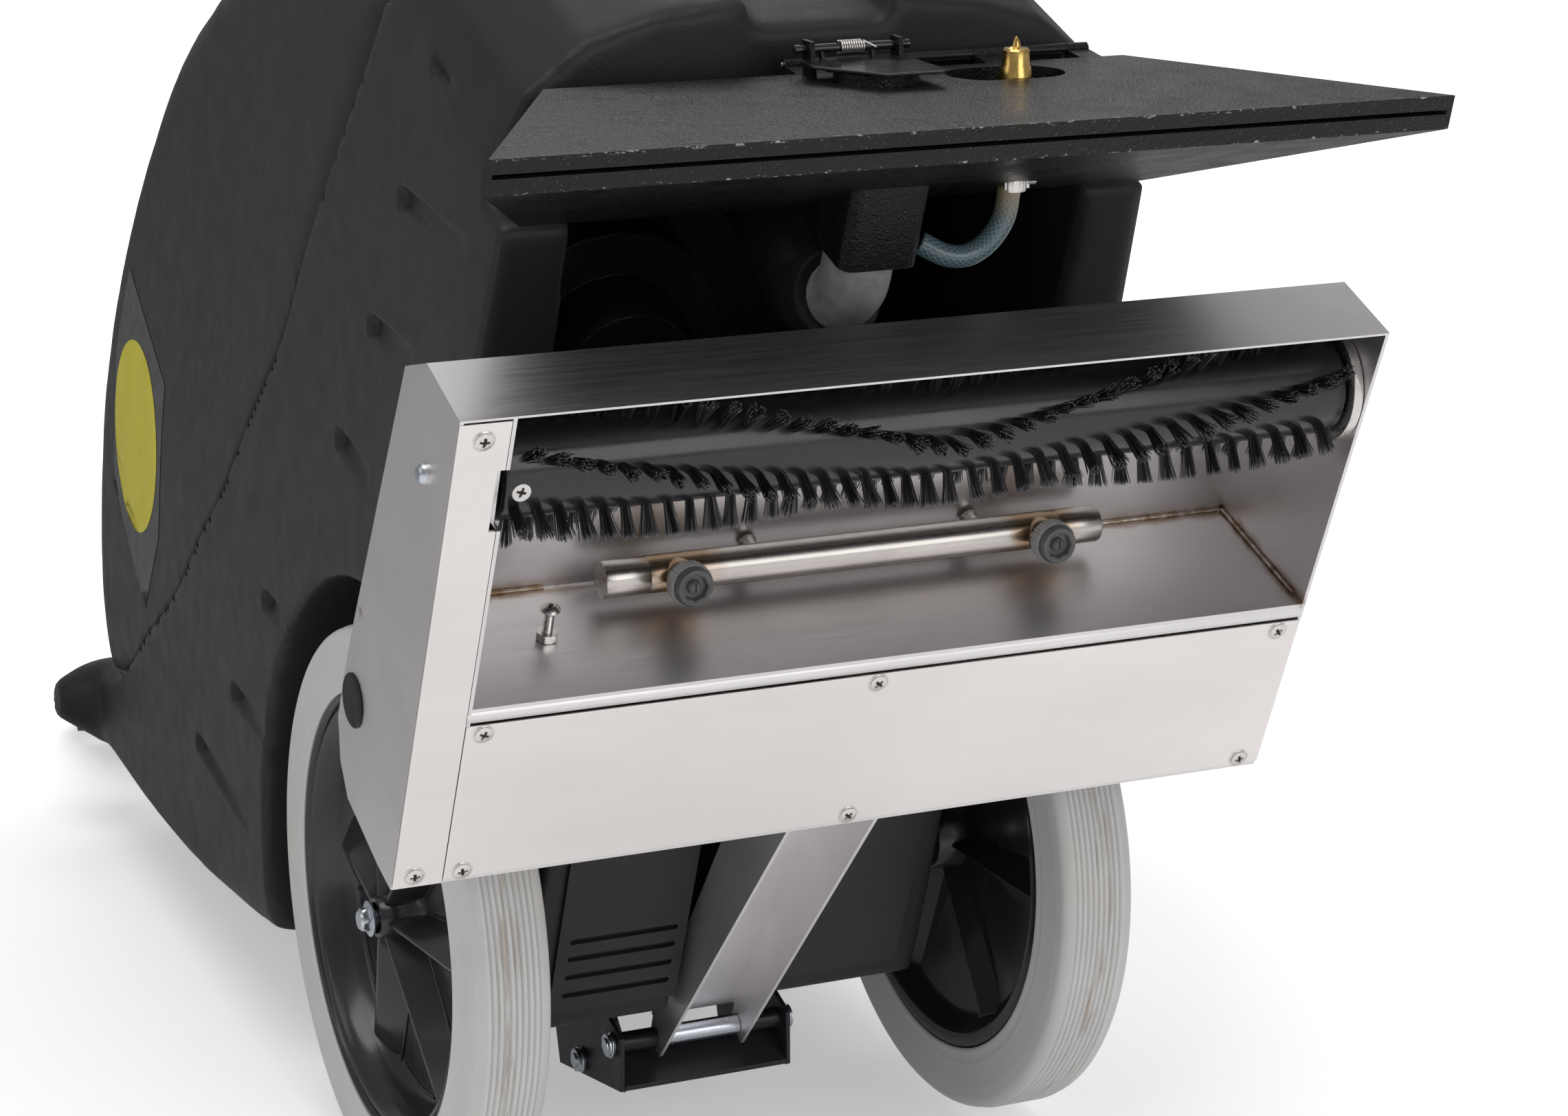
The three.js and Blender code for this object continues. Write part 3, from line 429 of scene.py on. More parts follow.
def powder_coat(name="powder_coat", base=0.013, peel=0.2, rough=0.33, chips=False):
    """Textured black coating with painted glints on rare grains, and pale chips along the shoe's
    lips.
    """
    s = Shader(name, gray(base, COOL), rough=rough, Specular_IOR_Level=0.22)
    grain = s.noise(760, 2)
    # painted glints: rare pale grains mixed into the coat's colour
    painted_glint_cells = s.node("ShaderNodeTexVoronoi", {"Vector": s.where, "Scale": 420.0}
                   ).outputs["Distance"]
    dot = s.ramp(painted_glint_cells, 0.16, 0.10)
    painted_glint_spots = s.math("GREATER_THAN", s.noise(310, 0), 0.57)
    tone = s.mix(s.math("MULTIPLY", dot, painted_glint_spots), gray(base, COOL), gray(0.11))
    if chips:
        f, u = s.machine()
        rim = s.math("MINIMUM", *[s.gap(f, edge) for edge in SHOE_LIPS])
        lip = s.math("MULTIPLY", s.ramp(u, 3.2, 0.8), s.ramp(rim, 1.6, 0.6))
        worn = s.ramp(s.noise(520, 3, stretch=(0.5, 1.0, 1.0)), 0.60, 0.67)
        tone = s.mix(s.math("MULTIPLY", lip, worn), tone, gray(0.34))
    s.finish(tone, s.noise(45, 3), 0.3, 0.7, rough - 0.06, rough + 0.1)
    s.bump(grain, peel)
    s.bump(s.noise(380, 2), peel * 0.7)
    return s.material


def satin_black(name, base=0.010, rough=0.28, peel=0.03, tint=COOL, level=0.3):
    """Smooth moulded or painted black with a soft sheen and light handling marks."""
    s = Shader(name, gray(base, tint), rough=rough, Specular_IOR_Level=level)
    smear = s.noise(22, 5, stretch=(1.0, 2.5, 1.0))
    s.finish(s.patches(9, 3, 0.3, 0.7, gray(base, tint), gray(base * 1.35, tint)),
             smear, 0.3, 0.75, rough - 0.05, rough + 0.12)
    s.bump(s.noise(700, 2), peel)
    return s.material


def stainless(name="stainless_sheet", welds=False, color=(0.72, 0.70, 0.69), rough=0.3):
    """Satin stainless: short drawn lines across the machine, clouding, heat tint at welds."""
    s = Shader(name, color, metallic=1.0, rough=rough)
    lines = s.noise(260, 4, stretch=(0.06, 3.0, 3.0), rough=0.7)
    cloud = s.noise(7, 4, stretch=(1.0, 2.4, 2.4))
    base = s.mix(s.ramp(cloud, 0.3, 0.72), color, shade(color, 0.92))
    if welds:
        f, u = s.machine()
        df = s.gap(f, WALL_FOOT[0])
        foot = s.math("ADD", s.gap(u, WALL_FOOT[1]), df)
        side = s.math("ADD", s.gap(s.across(), WALL_END), df)
        near = s.math("MINIMUM", foot, side)
        wander = s.ramp(s.noise(70, 3), 0.3, 0.7, 2.5, 8.0)
        burnt = s.ramp(s.math("DIVIDE", near, wander), 1.0, 0.15)
        base = s.mix(s.math("MULTIPLY", burnt, 0.7), base, (0.30, 0.18, 0.09))
        smoke = s.ramp(s.noise(24, 4), 0.55, 0.8, 0.0, 0.16)
        base = s.mix(smoke, base, shade(color, 0.66))
    s.finish(base, lines, 0.25, 0.75, rough - 0.05, rough + 0.1)
    s.bump(lines, 0.012)
    s.bump(s.noise(5, 2), 0.25)
    return s.material


def spray_steel():
    """Drawn stainless tube, browned where the nozzle bosses are brazed on."""
    color = (0.62, 0.58, 0.55)
    s = Shader("spray_steel", color, metallic=1.0, rough=0.26)
    x = s.across()
    gap = [s.gap(x, nozzle) for nozzle in SPRAY["nozzles"]]
    near = s.math("MINIMUM", *gap)
    wander = s.ramp(s.noise(60, 3), 0.3, 0.7, 16.0, 27.0)
    burnt = s.ramp(s.math("DIVIDE", near, wander), 1.0, 0.55, 0.0, 0.85)
    lines = s.noise(200, 3, stretch=(0.1, 4.0, 4.0))
    base = s.patches(20, 3, 0.35, 0.7, color, shade(color, 0.8))
    s.finish(s.mix(burnt, base, (0.34, 0.22, 0.11)), lines, 0.25, 0.75, 0.2, 0.32)
    s.bump(lines, 0.01)
    return s.material


def bright_zinc(name="zinc_plate", color=(0.60, 0.64, 0.69)):
    """Plated steel with tool marks."""
    s = Shader(name, color, metallic=1.0, rough=0.24)
    marks = s.noise(500, 3, stretch=(3.0, 1.0, 1.0))
    s.finish(s.patches(60, 3, 0.35, 0.7, color, shade(color, 0.92)),
             marks, 0.3, 0.7, 0.24, 0.32)
    s.bump(marks, 0.006)
    return s.material


def turned_brass():
    """Brass with fine turning lines and darker spots."""
    s = Shader("turned_brass", (0.75, 0.49, 0.14), metallic=1.0, rough=0.2)
    tone = s.patches(90, 4, 0.4, 0.75, (0.74, 0.50, 0.17), (0.42, 0.25, 0.07))
    lines = s.noise(240, 2, stretch=(0.2, 0.2, 14.0))
    s.finish(tone, lines, 0.3, 0.7, 0.15, 0.3)
    s.bump(lines, 0.015)
    return s.material


def tyre_rubber():
    """Pale grey tyre: darker where the tread dips between ribs, brown scuffs on the tread, cloudy
    sidewall.
    """
    s = Shader("tyre_rubber", gray(0.64), rough=0.5)
    f, u = s.machine()
    du = s.math("SUBTRACT", u, WHEEL_R)
    radius = s.math("SQRT", s.math("ADD", s.math("POWER", f, 2.0), s.math("POWER", du, 2.0)))
    tread = s.ramp(radius, WHEEL_R - 6.0, WHEEL_R - 1.0)
    x = s.math("ABSOLUTE", s.across())
    band = s.ramp(s.gap(x, WHEEL_X + 2.0), 9.0, 1.0)
    streak = s.ramp(s.noise(26, 5, stretch=(16.0, 1.0, 1.0)), 0.52, 0.66)
    stain = s.math("MULTIPLY", s.math("MULTIPLY", band, tread), s.math("MULTIPLY", streak, 0.75))
    # darker and browner where the tread dips between ribs
    low = s.ramp(radius, WHEEL_R - 0.35, WHEEL_R - 0.95, 0.0, 0.28)
    tone = s.patches(16, 4, 0.3, 0.7, gray(0.68, (1, 1, 0.985)), gray(0.61, (0.99, 1.0, 1.0)))
    tone = s.mix(s.math("MULTIPLY", low, tread), tone, (0.40, 0.37, 0.33))
    warm = s.mix(s.ramp(s.noise(11, 3), 0.6, 0.8, 0.0, 0.35), tone, (0.58, 0.50, 0.38))
    s.finish(s.mix(stain, warm, (0.36, 0.27, 0.19)), s.noise(80, 3), 0.3, 0.7, 0.42, 0.56)
    s.bump(s.noise(420, 2), 0.04)
    return s.material


def black_rubber():
    return simple("black_rubber", gray(0.010), (40, 3, 0.3, 0.7, gray(0.009), gray(0.016)),
                  (120, 3, 0.3, 0.7, 0.52, 0.72), [(800, 2, 0.06)],
                  rough=0.62, Specular_IOR_Level=0.4)


def grey_fitting(name, tone):
    """Moulded grey nylon with pale patches of lime dust."""
    return simple(name, gray(tone),
                  (150, 4, 0.35, 0.7, gray(tone), gray(tone * 1.4, (1, 1, 0.97))),
                  (200, 2, 0.3, 0.7, 0.4, 0.6), [(900, 3, 0.07)], rough=0.48)


def bristle():
    """Nylon strands: near black at the root, worn grey at the tip."""
    s = Shader("bristle", gray(0.012), rough=0.36, Specular_IOR_Level=0.6)
    tip = s.node("ShaderNodeAttribute", attribute_name="tip").outputs["Fac"]
    tone = s.node("ShaderNodeAttribute", attribute_name="tone").outputs["Fac"]
    dark = s.mix(tone, gray(0.008), gray(0.030, COOL))
    s.finish(s.mix(s.ramp(tip, 0.9, 1.0, 0.0, 0.85), dark, gray(0.2, COOL)),
             tone, 0.0, 1.0, 0.3, 0.46)
    s.bump(s.noise(2500, 1), 0.02)
    return s.material


def braid():
    """Clear hose over a crossed braid, browned beside the barb."""
    s = Shader("braided_hose", (0.10, 0.16, 0.18), rough=0.22, Coat_Weight=0.5)
    run = s.node("ShaderNodeAttribute", attribute_name="run").outputs["Fac"]
    turn = s.node("ShaderNodeAttribute", attribute_name="turn").outputs["Fac"]
    lines = []
    for sign in (1.0, -1.0):
        phase = s.math("ADD", s.math("MULTIPLY", run, 24.0), s.math("MULTIPLY", turn, 6 * sign))
        wave = s.math("ABSOLUTE", s.math("SINE", s.math("MULTIPLY", phase, pi)))
        lines.append(s.ramp(wave, 0.34, 0.10))
    thread = s.math("MAXIMUM", lines[0], lines[1])
    brown = s.ramp(run, 0.38, 0.14)
    back = s.mix(brown, (0.085, 0.14, 0.16), (0.26, 0.19, 0.10))
    yarn = s.mix(brown, (0.26, 0.36, 0.39), (0.46, 0.36, 0.22))
    s.finish(s.mix(thread, back, yarn), thread, 0.0, 1.0, 0.18, 0.4)
    s.bump(thread, 0.12)
    return s.material


def decal_print(name, color):
    return simple(name, color, (30, 3, 0.3, 0.7, color, shade(color, 0.9)),
                  (100, 2, 0.3, 0.7, 0.33, 0.45), [(600, 2, 0.03)],
                  rough=0.4, Specular_IOR_Level=0.2)


def weld_bead():
    return simple("weld_bead", (0.42, 0.33, 0.26),
                  (160, 4, 0.35, 0.65, (0.30, 0.19, 0.11), (0.56, 0.49, 0.43)),
                  (300, 2, 0.3, 0.7, 0.28, 0.5), [(900, 2, 0.1)], metallic=1.0, rough=0.38)


TANK = tank_plastic()
COAT = powder_coat()
SHOE_COAT = powder_coat("shoe_coat", base=0.011, peel=0.5, rough=0.27, chips=True)
SATIN = satin_black("satin_plastic")
GLOSS = satin_black("gloss_black", base=0.012, rough=0.17, peel=0.02,
                    tint=(0.95, 0.96, 1.15), level=0.6)
HUB = satin_black("hub_plastic", base=0.017, rough=0.19, tint=(1.0, 0.93, 1.14), level=0.6)
PANEL = satin_black("panel_paint", base=0.022, rough=0.36, peel=0.05, tint=(0.96, 0.97, 1.12))
STEEL = stainless(welds=True, color=(0.80, 0.775, 0.775), rough=0.38)
COVER = stainless("stainless_cover", color=(0.88, 0.835, 0.82), rough=0.36)
# painted light: the arm gets a lighter copy of the stainless, since it sits in shade
LIT_ARM_STEEL = stainless("stainless_arm_painted_light", color=(0.93, 0.90, 0.91), rough=0.46)
SPRAY_STEEL = spray_steel()
ZINC = bright_zinc()
SCREW = bright_zinc("screw_steel", (0.74, 0.71, 0.69))
# painted shade: warm black laid in the bottoms of screw recesses
RECESS_SHADE = satin_black("recess_shadow", base=0.020, rough=0.5, tint=(1.15, 0.95, 0.8))
BRASS = turned_brass()
TYRE = tyre_rubber()
RUBBER = black_rubber()
FITTING = grey_fitting("grey_fitting", 0.42)
FITTING_DARK = grey_fitting("dark_fitting", 0.10)
ELBOW = grey_fitting("elbow_plastic", 0.30)
BRISTLE = bristle()
HOSE = braid()
WELD = weld_bead()

# ---- moulded tanks
BODY_W = 190.0
BUMPER = {"at": (-291, 746), "reach": 36.0, "x": 183.5}
SEAM = [(436, 331), (395, 345), (337, 368), (259, 397), (192, 414), (113, 452), (48, 481),
        (-4, 512), (-73, 553), (-145, 611), (-199, 651), (-246, 706)]
NOSE = [(188, 131), (421, 131), (421, 158), (478, 172), (504, 181), (502, 235), (478, 295)]
REAR = [(-246, 706), (-262, 745), (-284, 770), (-312, 768), (-326, 748), (-318, 722),
        (-305, 700), (-263, 577), (-217, 465), (-171, 371), (-137, 306)]
CROWN = [(434, 372), (408, 450), (370, 530), (330, 586), (284, 632), (239, 671), (196, 699),
         (154, 719), (116, 735), (73, 749), (28, 759), (-27, 768), (-71, 773), (-143, 766),
         (-205, 745)]
ARCH = {"f": -15, "u": 165, "r": 182, "inner": 112}
TAPER = 0.05
VOXEL = 0.0038
GROOVE_HALF, GROOVE_DEPTH = 8.0, 5.6
LID = {"at": (104, 737), "normal": (0.336, 0.942), "r": 84}
FILL = {"foot": (-298, 754), "mouth": (-298, 830), "r": 20}
DRAIN = {"foot": (-219, 511), "mouth": (-293, 480.6), "r": 24}
LEG_X, LEG_R, GRIP_R = 120, 12.7, 16.9
LEG_FOOT, LEG_TOP = (-268, 703), (-449, 945)


def bend(points, steps=5):
    """Smooth (F, U) line through points."""
    return [(q[0], q[1]) for q in curve([(f, u, 0) for f, u in points], steps)]


def half_width(f, u):
    """Half width of the tanks; they narrow forwards and upwards."""
    soft = 12.0
    ahead = soft * np.logaddexp(0, np.asarray(f, float) / soft)
    above = soft * np.logaddexp(0, (np.asarray(u, float) - 150) / soft)
    return BODY_W - TAPER * (ahead + above)


def untapered(shape):
    """A cutter whose x is widened so that the taper brings it back to what was asked."""
    verts, faces = shape
    return [(x * BODY_W / float(half_width(f, u)), f, u) for x, f, u in verts], faces


def cap_bore(x, cap):
    """Cutter for the hole under a screw cap."""
    return rod((x, *lerp(cap["foot"], cap["mouth"], -0.02)), (x, *cap["mouth"]),
               cap["r"] - 5.4, 32)


def raw_object(name, shape):
    """Helper solid in metres of machine space, before the lean."""
    obj = new_object(name, shape, lambda x, f, u: (x / 1000, -f / 1000, u / 1000))
    clean_mesh(obj.data, 1e-6)
    return obj


def evaluated(obj):
    dg = bpy.context.evaluated_depsgraph_get()
    return bpy.data.meshes.new_from_object(obj.evaluated_get(dg))


def nearest(points, line, closed=False):
    """Closest spot on an (F, U) line to each point: its distance, the spot, and the share
    of the way along its stretch."""
    a = np.array(line, float)
    b = np.roll(a, -1, 0) if closed else a[1:]
    best = np.full(len(points), 1e9)
    spot, share = np.zeros((len(points), 2)), np.zeros(len(points))
    for p, q in zip(a, b):
        d = q - p
        if d @ d < 1e-9:
            continue
        t = np.clip(((points - p) @ d) / (d @ d), 0, 1)
        at = p + t[:, None] * d
        away = np.hypot(*(points - at).T)
        closer = away < best
        best[closer], spot[closer], share[closer] = away[closer], at[closer], t[closer]
    return best, spot, share


def relax(co, edges, weight, rounds):
    """Laplacian smoothing with a weight per vertex."""
    degree = np.bincount(edges.ravel(), minlength=len(co)).clip(1)[:, None]
    for _ in range(rounds):
        total = np.zeros_like(co)
        for axis in range(3):
            total[:, axis] = (np.bincount(edges[:, 0], co[edges[:, 1], axis], len(co))
                              + np.bincount(edges[:, 1], co[edges[:, 0], axis], len(co)))
        co += (total / degree - co) * 0.5 * weight[:, None]
    return co


def press_grooves(co, fu, runs):
    """Finger grooves: crisp and deep at the first end, fading out towards the second."""
    on_flank = np.abs(np.abs(co[:, 0]) - BODY_W) < 1.8
    for run in runs:
        away, _, share = nearest(fu, run)
        edge = np.clip((away / GROOVE_HALF - 0.30) / 0.62, 0, 1)
        wall = 1 - edge * edge * (3 - 2 * edge)
        depth = GROOVE_DEPTH * (0.12 + 0.88 * (1 - share) ** 1.1) * np.clip((1 - share) * 9, 0, 1)
        co[on_flank, 0] -= (np.sign(co[:, 0]) * wall * depth)[on_flank]
    return co


def refine_near(mesh, runs):
    """Splits the flank's faces finely around each groove."""
    bm = bmesh.new()
    bm.from_mesh(mesh)
    co = np.array([v.co for v in bm.verts]) * 1000
    fu = np.column_stack([-co[:, 1], co[:, 2]])
    near = np.zeros(len(co), bool)
    for run in runs:
        near |= nearest(fu, run)[0] < GROOVE_HALF + 4
    near &= np.abs(np.abs(co[:, 0]) - BODY_W) < 1.6
    edges = [e for e in bm.edges if near[e.verts[0].index] and near[e.verts[1].index]]
    bmesh.ops.subdivide_edges(bm, edges=edges, cuts=2, use_grid_fill=True)
    bmesh.ops.triangulate(bm, faces=[f for f in bm.faces if len(f.verts) > 4])
    bm.to_mesh(mesh)
    bm.free()


def flared(x, f, u):
    """x widened where the rear bumper rolls out past the flanks."""
    wide = half_width(f, u)
    near = 1 - np.clip(np.hypot(f - BUMPER["at"][0], u - BUMPER["at"][1]) / BUMPER["reach"], 0, 1)
    swell = near * near * (3 - 2 * near)
    outer = np.clip(np.abs(x) / wide, 0, 1) ** 8
    return x + np.sign(x) * (BUMPER["x"] - wide) * np.minimum(1.35 * swell, 1) * outer


def mould(name, outline, cutters, rounded, node, edge=20.0, seam=(), runs=()):
    """Moulded shell: cut in low detail, remeshed finely, edges on `rounded` softened, the
    seam drawn straight, grooves pressed in, then tapered."""
    base = raw_object(name, prism(outline, -BODY_W, BODY_W))
    group = bpy.data.collections.new(name + "_cutters")
    bpy.context.scene.collection.children.link(group)
    made = []
    for i, cutter in enumerate(cutters):
        tool = raw_object(f"{name}_cutter_{i}", untapered(cutter))
        bpy.context.scene.collection.objects.unlink(tool)
        group.objects.link(tool)
        made.append(tool)
    cut = base.modifiers.new("cut", "BOOLEAN")
    cut.operation = "DIFFERENCE"
    cut.operand_type = "COLLECTION"
    cut.collection = group
    cut.solver = "EXACT"
    cut.use_self = True
    fine = base.modifiers.new("fine", "REMESH")
    fine.mode = "VOXEL"
    fine.voxel_size = VOXEL
    mesh = evaluated(base)
    for tool in made:
        bpy.data.objects.remove(tool)
    bpy.data.collections.remove(group)
    base.modifiers.clear()
    if runs:
        refine_near(mesh, runs)

    co = np.empty(len(mesh.vertices) * 3)
    mesh.vertices.foreach_get("co", co)
    co = co.reshape(-1, 3) * 1000
    edges = np.empty(len(mesh.edges) * 2, int)
    mesh.edges.foreach_get("vertices", edges)
    edges = edges.reshape(-1, 2)
    fu = np.column_stack([-co[:, 1], co[:, 2]])
    from_flank = BODY_W - np.abs(co[:, 0])
    from_edge = np.hypot(from_flank, nearest(fu, rounded, True)[0])
    weight = np.exp(-(from_edge / edge) ** 2)
    co = relax(co, edges, np.full(len(co), 0.7), 3)
    co = relax(co, edges, weight, 45)
    co = relax(co, edges, np.full(len(co), 0.5), 2)
    fu = np.column_stack([-co[:, 1], co[:, 2]])
    if len(seam):
        away, spot, _ = nearest(fu, seam)
        snap = (away < 2.7) & (weight < 0.5)
        co[snap, 1], co[snap, 2] = -spot[snap, 0], spot[snap, 1]
        edge_now = snap & (BODY_W - np.abs(co[:, 0]) < 2.4)
        co[edge_now, 0] = np.sign(co[edge_now, 0]) * BODY_W
    co = press_grooves(co, fu, runs)
    co[:, 0] *= half_width(-co[:, 1], co[:, 2]) / BODY_W
    co[:, 0] = flared(co[:, 0], -co[:, 1], co[:, 2])
    placed = co / 1000 @ np.array(MACHINE.to_3x3()).T + np.array(MACHINE.translation)
    mesh.vertices.foreach_set("co", placed.astype(np.float32).ravel())
    mesh.polygons.foreach_set("use_smooth", [True] * len(mesh.polygons))
    mesh.update()
    old = base.data
    base.data = mesh
    bpy.data.meshes.remove(old)
    return finish_piece(base, TANK, "frame_body", [node])


def make_lower_tank():
    seam = bend(SEAM)
    outline = NOSE + seam + bend(REAR)[1:] + [(-132, 196), (-76, 196), (-52, 102), (172, 102)]
    leg = unit(LEG_FOOT, LEG_TOP)
    cutters = [block(-132, 132, 196, 448, 90, 318),   # the head's bay
               rod((-300, *AXLE), (300, *AXLE), 8.3),
               block(-29, 29, -90, 98, 90, 136),      # slot for the arm
               block(-36, 36, 492, 540, 120, 300),    # mouth between the front corners
               rod((0, 378, 300), (0, 372, 380), 25, 32),  # recovery hose
               cap_bore(0, FILL), cap_bore(-70, DRAIN)]
    for s in (-1, 1):
        arc = [(ARCH["f"] + ARCH["r"] * cos(t), ARCH["u"] + ARCH["r"] * sin(t))
               for t in (pi * i / 40 for i in range(41))]
        arc += [(ARCH["f"] - ARCH["r"], 60), (ARCH["f"] + ARCH["r"], 60)]
        cutters.append(prism(arc, *sorted((s * ARCH["inner"], s * 260))))
        corner = [(34, 504), (80, 500), (118, 490), (150, 466), (168, 428), (230, 420),
                  (230, 560), (34, 560)]
        cutters.append(rings_to_mesh([[(s * x, f, u) for x, f in corner] for u in (120, 380)]))
        cutters.append(rod((s * LEG_X, *along(LEG_FOOT, leg, 2)),
                           (s * LEG_X, *along(LEG_FOOT, leg, 140)), LEG_R + 0.3, 24))
    runs = [((443, 250), (457, 166)), ((362, 265), (390, 165)), ((281, 279), (302, 212)),
            ((200, 300), (211, 246)), ((44, 378), (54, 346)), ((-46, 415), (-25, 346)),
            ((-130, 478), (-99, 350))]
    rounded = bend(REAR) + [(-132, 196), (-132, 196)]
    mould("lower_tank_shell", outline, cutters, rounded, "lower_tank", 14, seam, runs)


def make_recovery_tank():
    raised = [(f, u + 0.9) for f, u in bend(SEAM)][::-1]
    crown = bend([(436, 331.9)] + CROWN + [(-246, 706.9)], 6)[1:-1]
    hollow = [(-214, 722), (-195, 668), (-145, 630), (-73, 573), (48, 501), (192, 434),
              (337, 388), (418, 362), (396, 446), (358, 524), (318, 580), (230, 662),
              (150, 705), (73, 732), (-71, 757), (-140, 752), (-198, 734)]
    verts, faces = prism(hollow, -BODY_W, BODY_W)
    shrunk = [(copysign(float(half_width(f, u)) * (1 - 12 / BODY_W), x), f, u)
              for x, f, u in verts]
    cutters = [(shrunk, faces),
               rod((0, *along(LID["at"], LID["normal"], -60)),
                   (0, *along(LID["at"], LID["normal"], 60)), 64, 48),
               rod((0, *along(LID["at"], LID["normal"], -4)),
                   (0, *along(LID["at"], LID["normal"], 60)), LID["r"] + 3, 48),
               rod((0, 378, 330), (0, 372, 420), 25, 32)]
    mould("recovery_tank_shell", raised + crown, cutters, crown, "recovery_tank", 24, raised)


# ---- lid and caps
def make_lid():
    base = along(LID["at"], LID["normal"], -3.5)
    top = along(base, LID["normal"], 1)
    r = LID["r"]
    profile = [(1, 0), (r - 1, 0), (r, 0.8), (r, 1.5), (r, 4), (r, 7), (r, 8.4), (r - 2, 9.6),
               (r - 8, 11.6), (70, 14), (69, 13.4), (66, 14.6), (54, 21), (40, 26), (22, 29.6),
               (8, 31), (0.5, 31)]
    piece("tank_lid_dome", lathe(profile, (0, *base), (0, *top), 240,
                                 flutes(60, 0.9, 1, 8.5, r - 1)), SATIN, "lid",
          ["tank_lid"])


def make_cap(name, body, x, cap, node):
    foot, mouth, r = cap["foot"], cap["mouth"], cap["r"]
    d = unit(foot, mouth)
    profile = [(1, 0), (r - 6.6, 0), (r - 6, 0.6), (r - 6, 15.8), (r - 0.6, 16), (r, 16.8),
               (r, 18), (r, 23), (r, 28), (r - 0.8, 30), (r - 3, 32.4), (r - 5, 33), (0.5, 33)]
    turn = lathe(profile, (x, *foot), (x, *along(foot, d, 1)), 168,
                 flutes(28, 0.8, 17, 29, r - 1))
    square = (-d[1], d[0])
    grip = []
    for s, half in ((32.4, r - 3), (36, r - 5), (37.2, r - 7)):
        middle = along(foot, d, min(s, 35.8))
        width = 3.2 if s < 37 else 2.0
        grip.append([(x + sx * width, *along(middle, square, sy * half))
                     for sx, sy in CORNERS])
    piece(name, join(turn, rings_to_mesh(grip)), SATIN, body, [node])


# ---- wheels
def make_wheel(side, s):
    body = "wheel_" + side
    w = TYRE_W / 2
    c, out = (s * WHEEL_X, *AXLE), (s * (WHEEL_X + 1), *AXLE)
    half = [(RIM_R, -w + 0.6), (RIM_R + 0.8, -w), (RIM_R + 2, -w)]
    half += [(RIM_R + 3 + k * 2.4, -w + 0.5 * (k % 2)) for k in range(3)]
    half += [(128 + k * 0.9, -w + 0.16 * (k % 2)) for k in range(16)]
    for k in range(6):
        t = k / 5 * pi / 2
        half.append((WHEEL_R - 6.6 + 5.8 * sin(t), -w + 5.6 * (1 - cos(t))))
    dips = (0.0, 0.12, 0.6, 1.15, 0.6, 0.12)
    steps = TREAD_RIBS * len(dips)
    tread = [(WHEEL_R - 0.15 - dips[(k + 2) % len(dips)],
              -w + 6.4 + (2 * w - 12.8) * k / steps) for k in range(steps + 1)]
    profile = half + tread + [(r, -d) for r, d in reversed(half)] + [(RIM_R, 0)]
    piece("tyre_tread_" + side, lathe(profile, c, out, TYRE_TURN, closed=True), TYRE, body,
          ["tyre_" + side], 50)

    r = RIM_R - 0.5
    outer = [(8.3, w - 1.0), (10.2, w - 1.0), (10.8, w - 1.8), (11.0, 12), (12.4, 6), (15, 1),
             (20, -2.6), (60, -4.4), (96, -4.6), (100, -4), (102, -2.0), (103.4, 4), (105.4, 11),
             (108.4, w - 4.2), (109.6, w - 3.2), (112, w - 2.6), (113.2, w - 4.4),
             (114.4, w - 4.6), (115.2, w - 2.2), (116, w - 1.2), (r - 0.5, w - 1), (r, w - 1.8)]
    inner = [(r, -w + 1.8), (r - 0.6, -w + 1), (111, -w + 1), (109, -w + 2.5), (103, -10),
             (99, -8.4), (24, -8.4), (20, -10), (18, -w - 5), (17, -w - 6), (8.3, -w - 6)]
    piece("hub_web_" + side, lathe(outer + inner, c, out, 120, closed=True), HUB, body,
          ["hub_" + side], 46)
    spokes, ridges = [], []
    for a in turns(SPOKES, radians(12)):

        def p(radius, t, x, a=a):
            y = radius * cos(a) - t * sin(a)
            z = radius * sin(a) + t * cos(a)
            return (s * (WHEEL_X + x), -y, WHEEL_R + z)
        wedge = []
        for k in range(9):
            q = k / 8
            reach, foot, crest = 9.4 + 94.6 * q, 4 + 20 * q, w - 4 - 13.5 * q
            wedge.append([p(reach, -foot, -5.4), p(reach, foot, -5.4), p(reach, 1.0, crest),
                          p(reach, -1.0, crest)])
        spokes.append(rings_to_mesh(wedge))
        spokes.append(rings_to_mesh([[p(16, -5, -7), p(16, 5, -7), p(16, 0, -w + 1)],
                                     [p(103, -20, -7), p(103, 20, -7), p(103, 0, -14)]]))
        for t in (-1, 1):
            ridges.append(tube([p(20, t * 7.2, -3.0), p(56, t * 15.0, -4.2),
                                p(99, t * 24.2, -4.2)], 1.0, 10))
        ridges.append(tube([p(98.6 * cos(q), 98.6 * sin(q), -4.2)
                            for q in (radians(v) for v in range(16, 46, 3))], 1.1, 10))
    piece("hub_spokes_" + side, join(*spokes), HUB, body, bevel=0.8, segments=3)
    piece("hub_ribs_" + side, join(*ridges), HUB, body, smooth=70)

    start = WHEEL_X + w + 1.4
    nut = [(4.3, 0), (9.0, 0), (9.4, 0.3), (9.4, 1.3), (9.0, 1.6), (7.2, 1.7), (6.8, 1.9),
           (6.8, 4.6), (6.0, 5.5), (5.4, 5.7), (4.9, 6.6), (4.6, 6.8), (4.3, 6.8)]
    piece("axle_nut_set_" + side,
          lathe(nut, (s * start, *AXLE), (s * 300, *AXLE), 72,
                hexagon(6.3 / cos(pi / 6) * 0.92, 1.8, 5.6, 4.6)),
          ZINC, "frame_body", ["axle_nut_" + side])


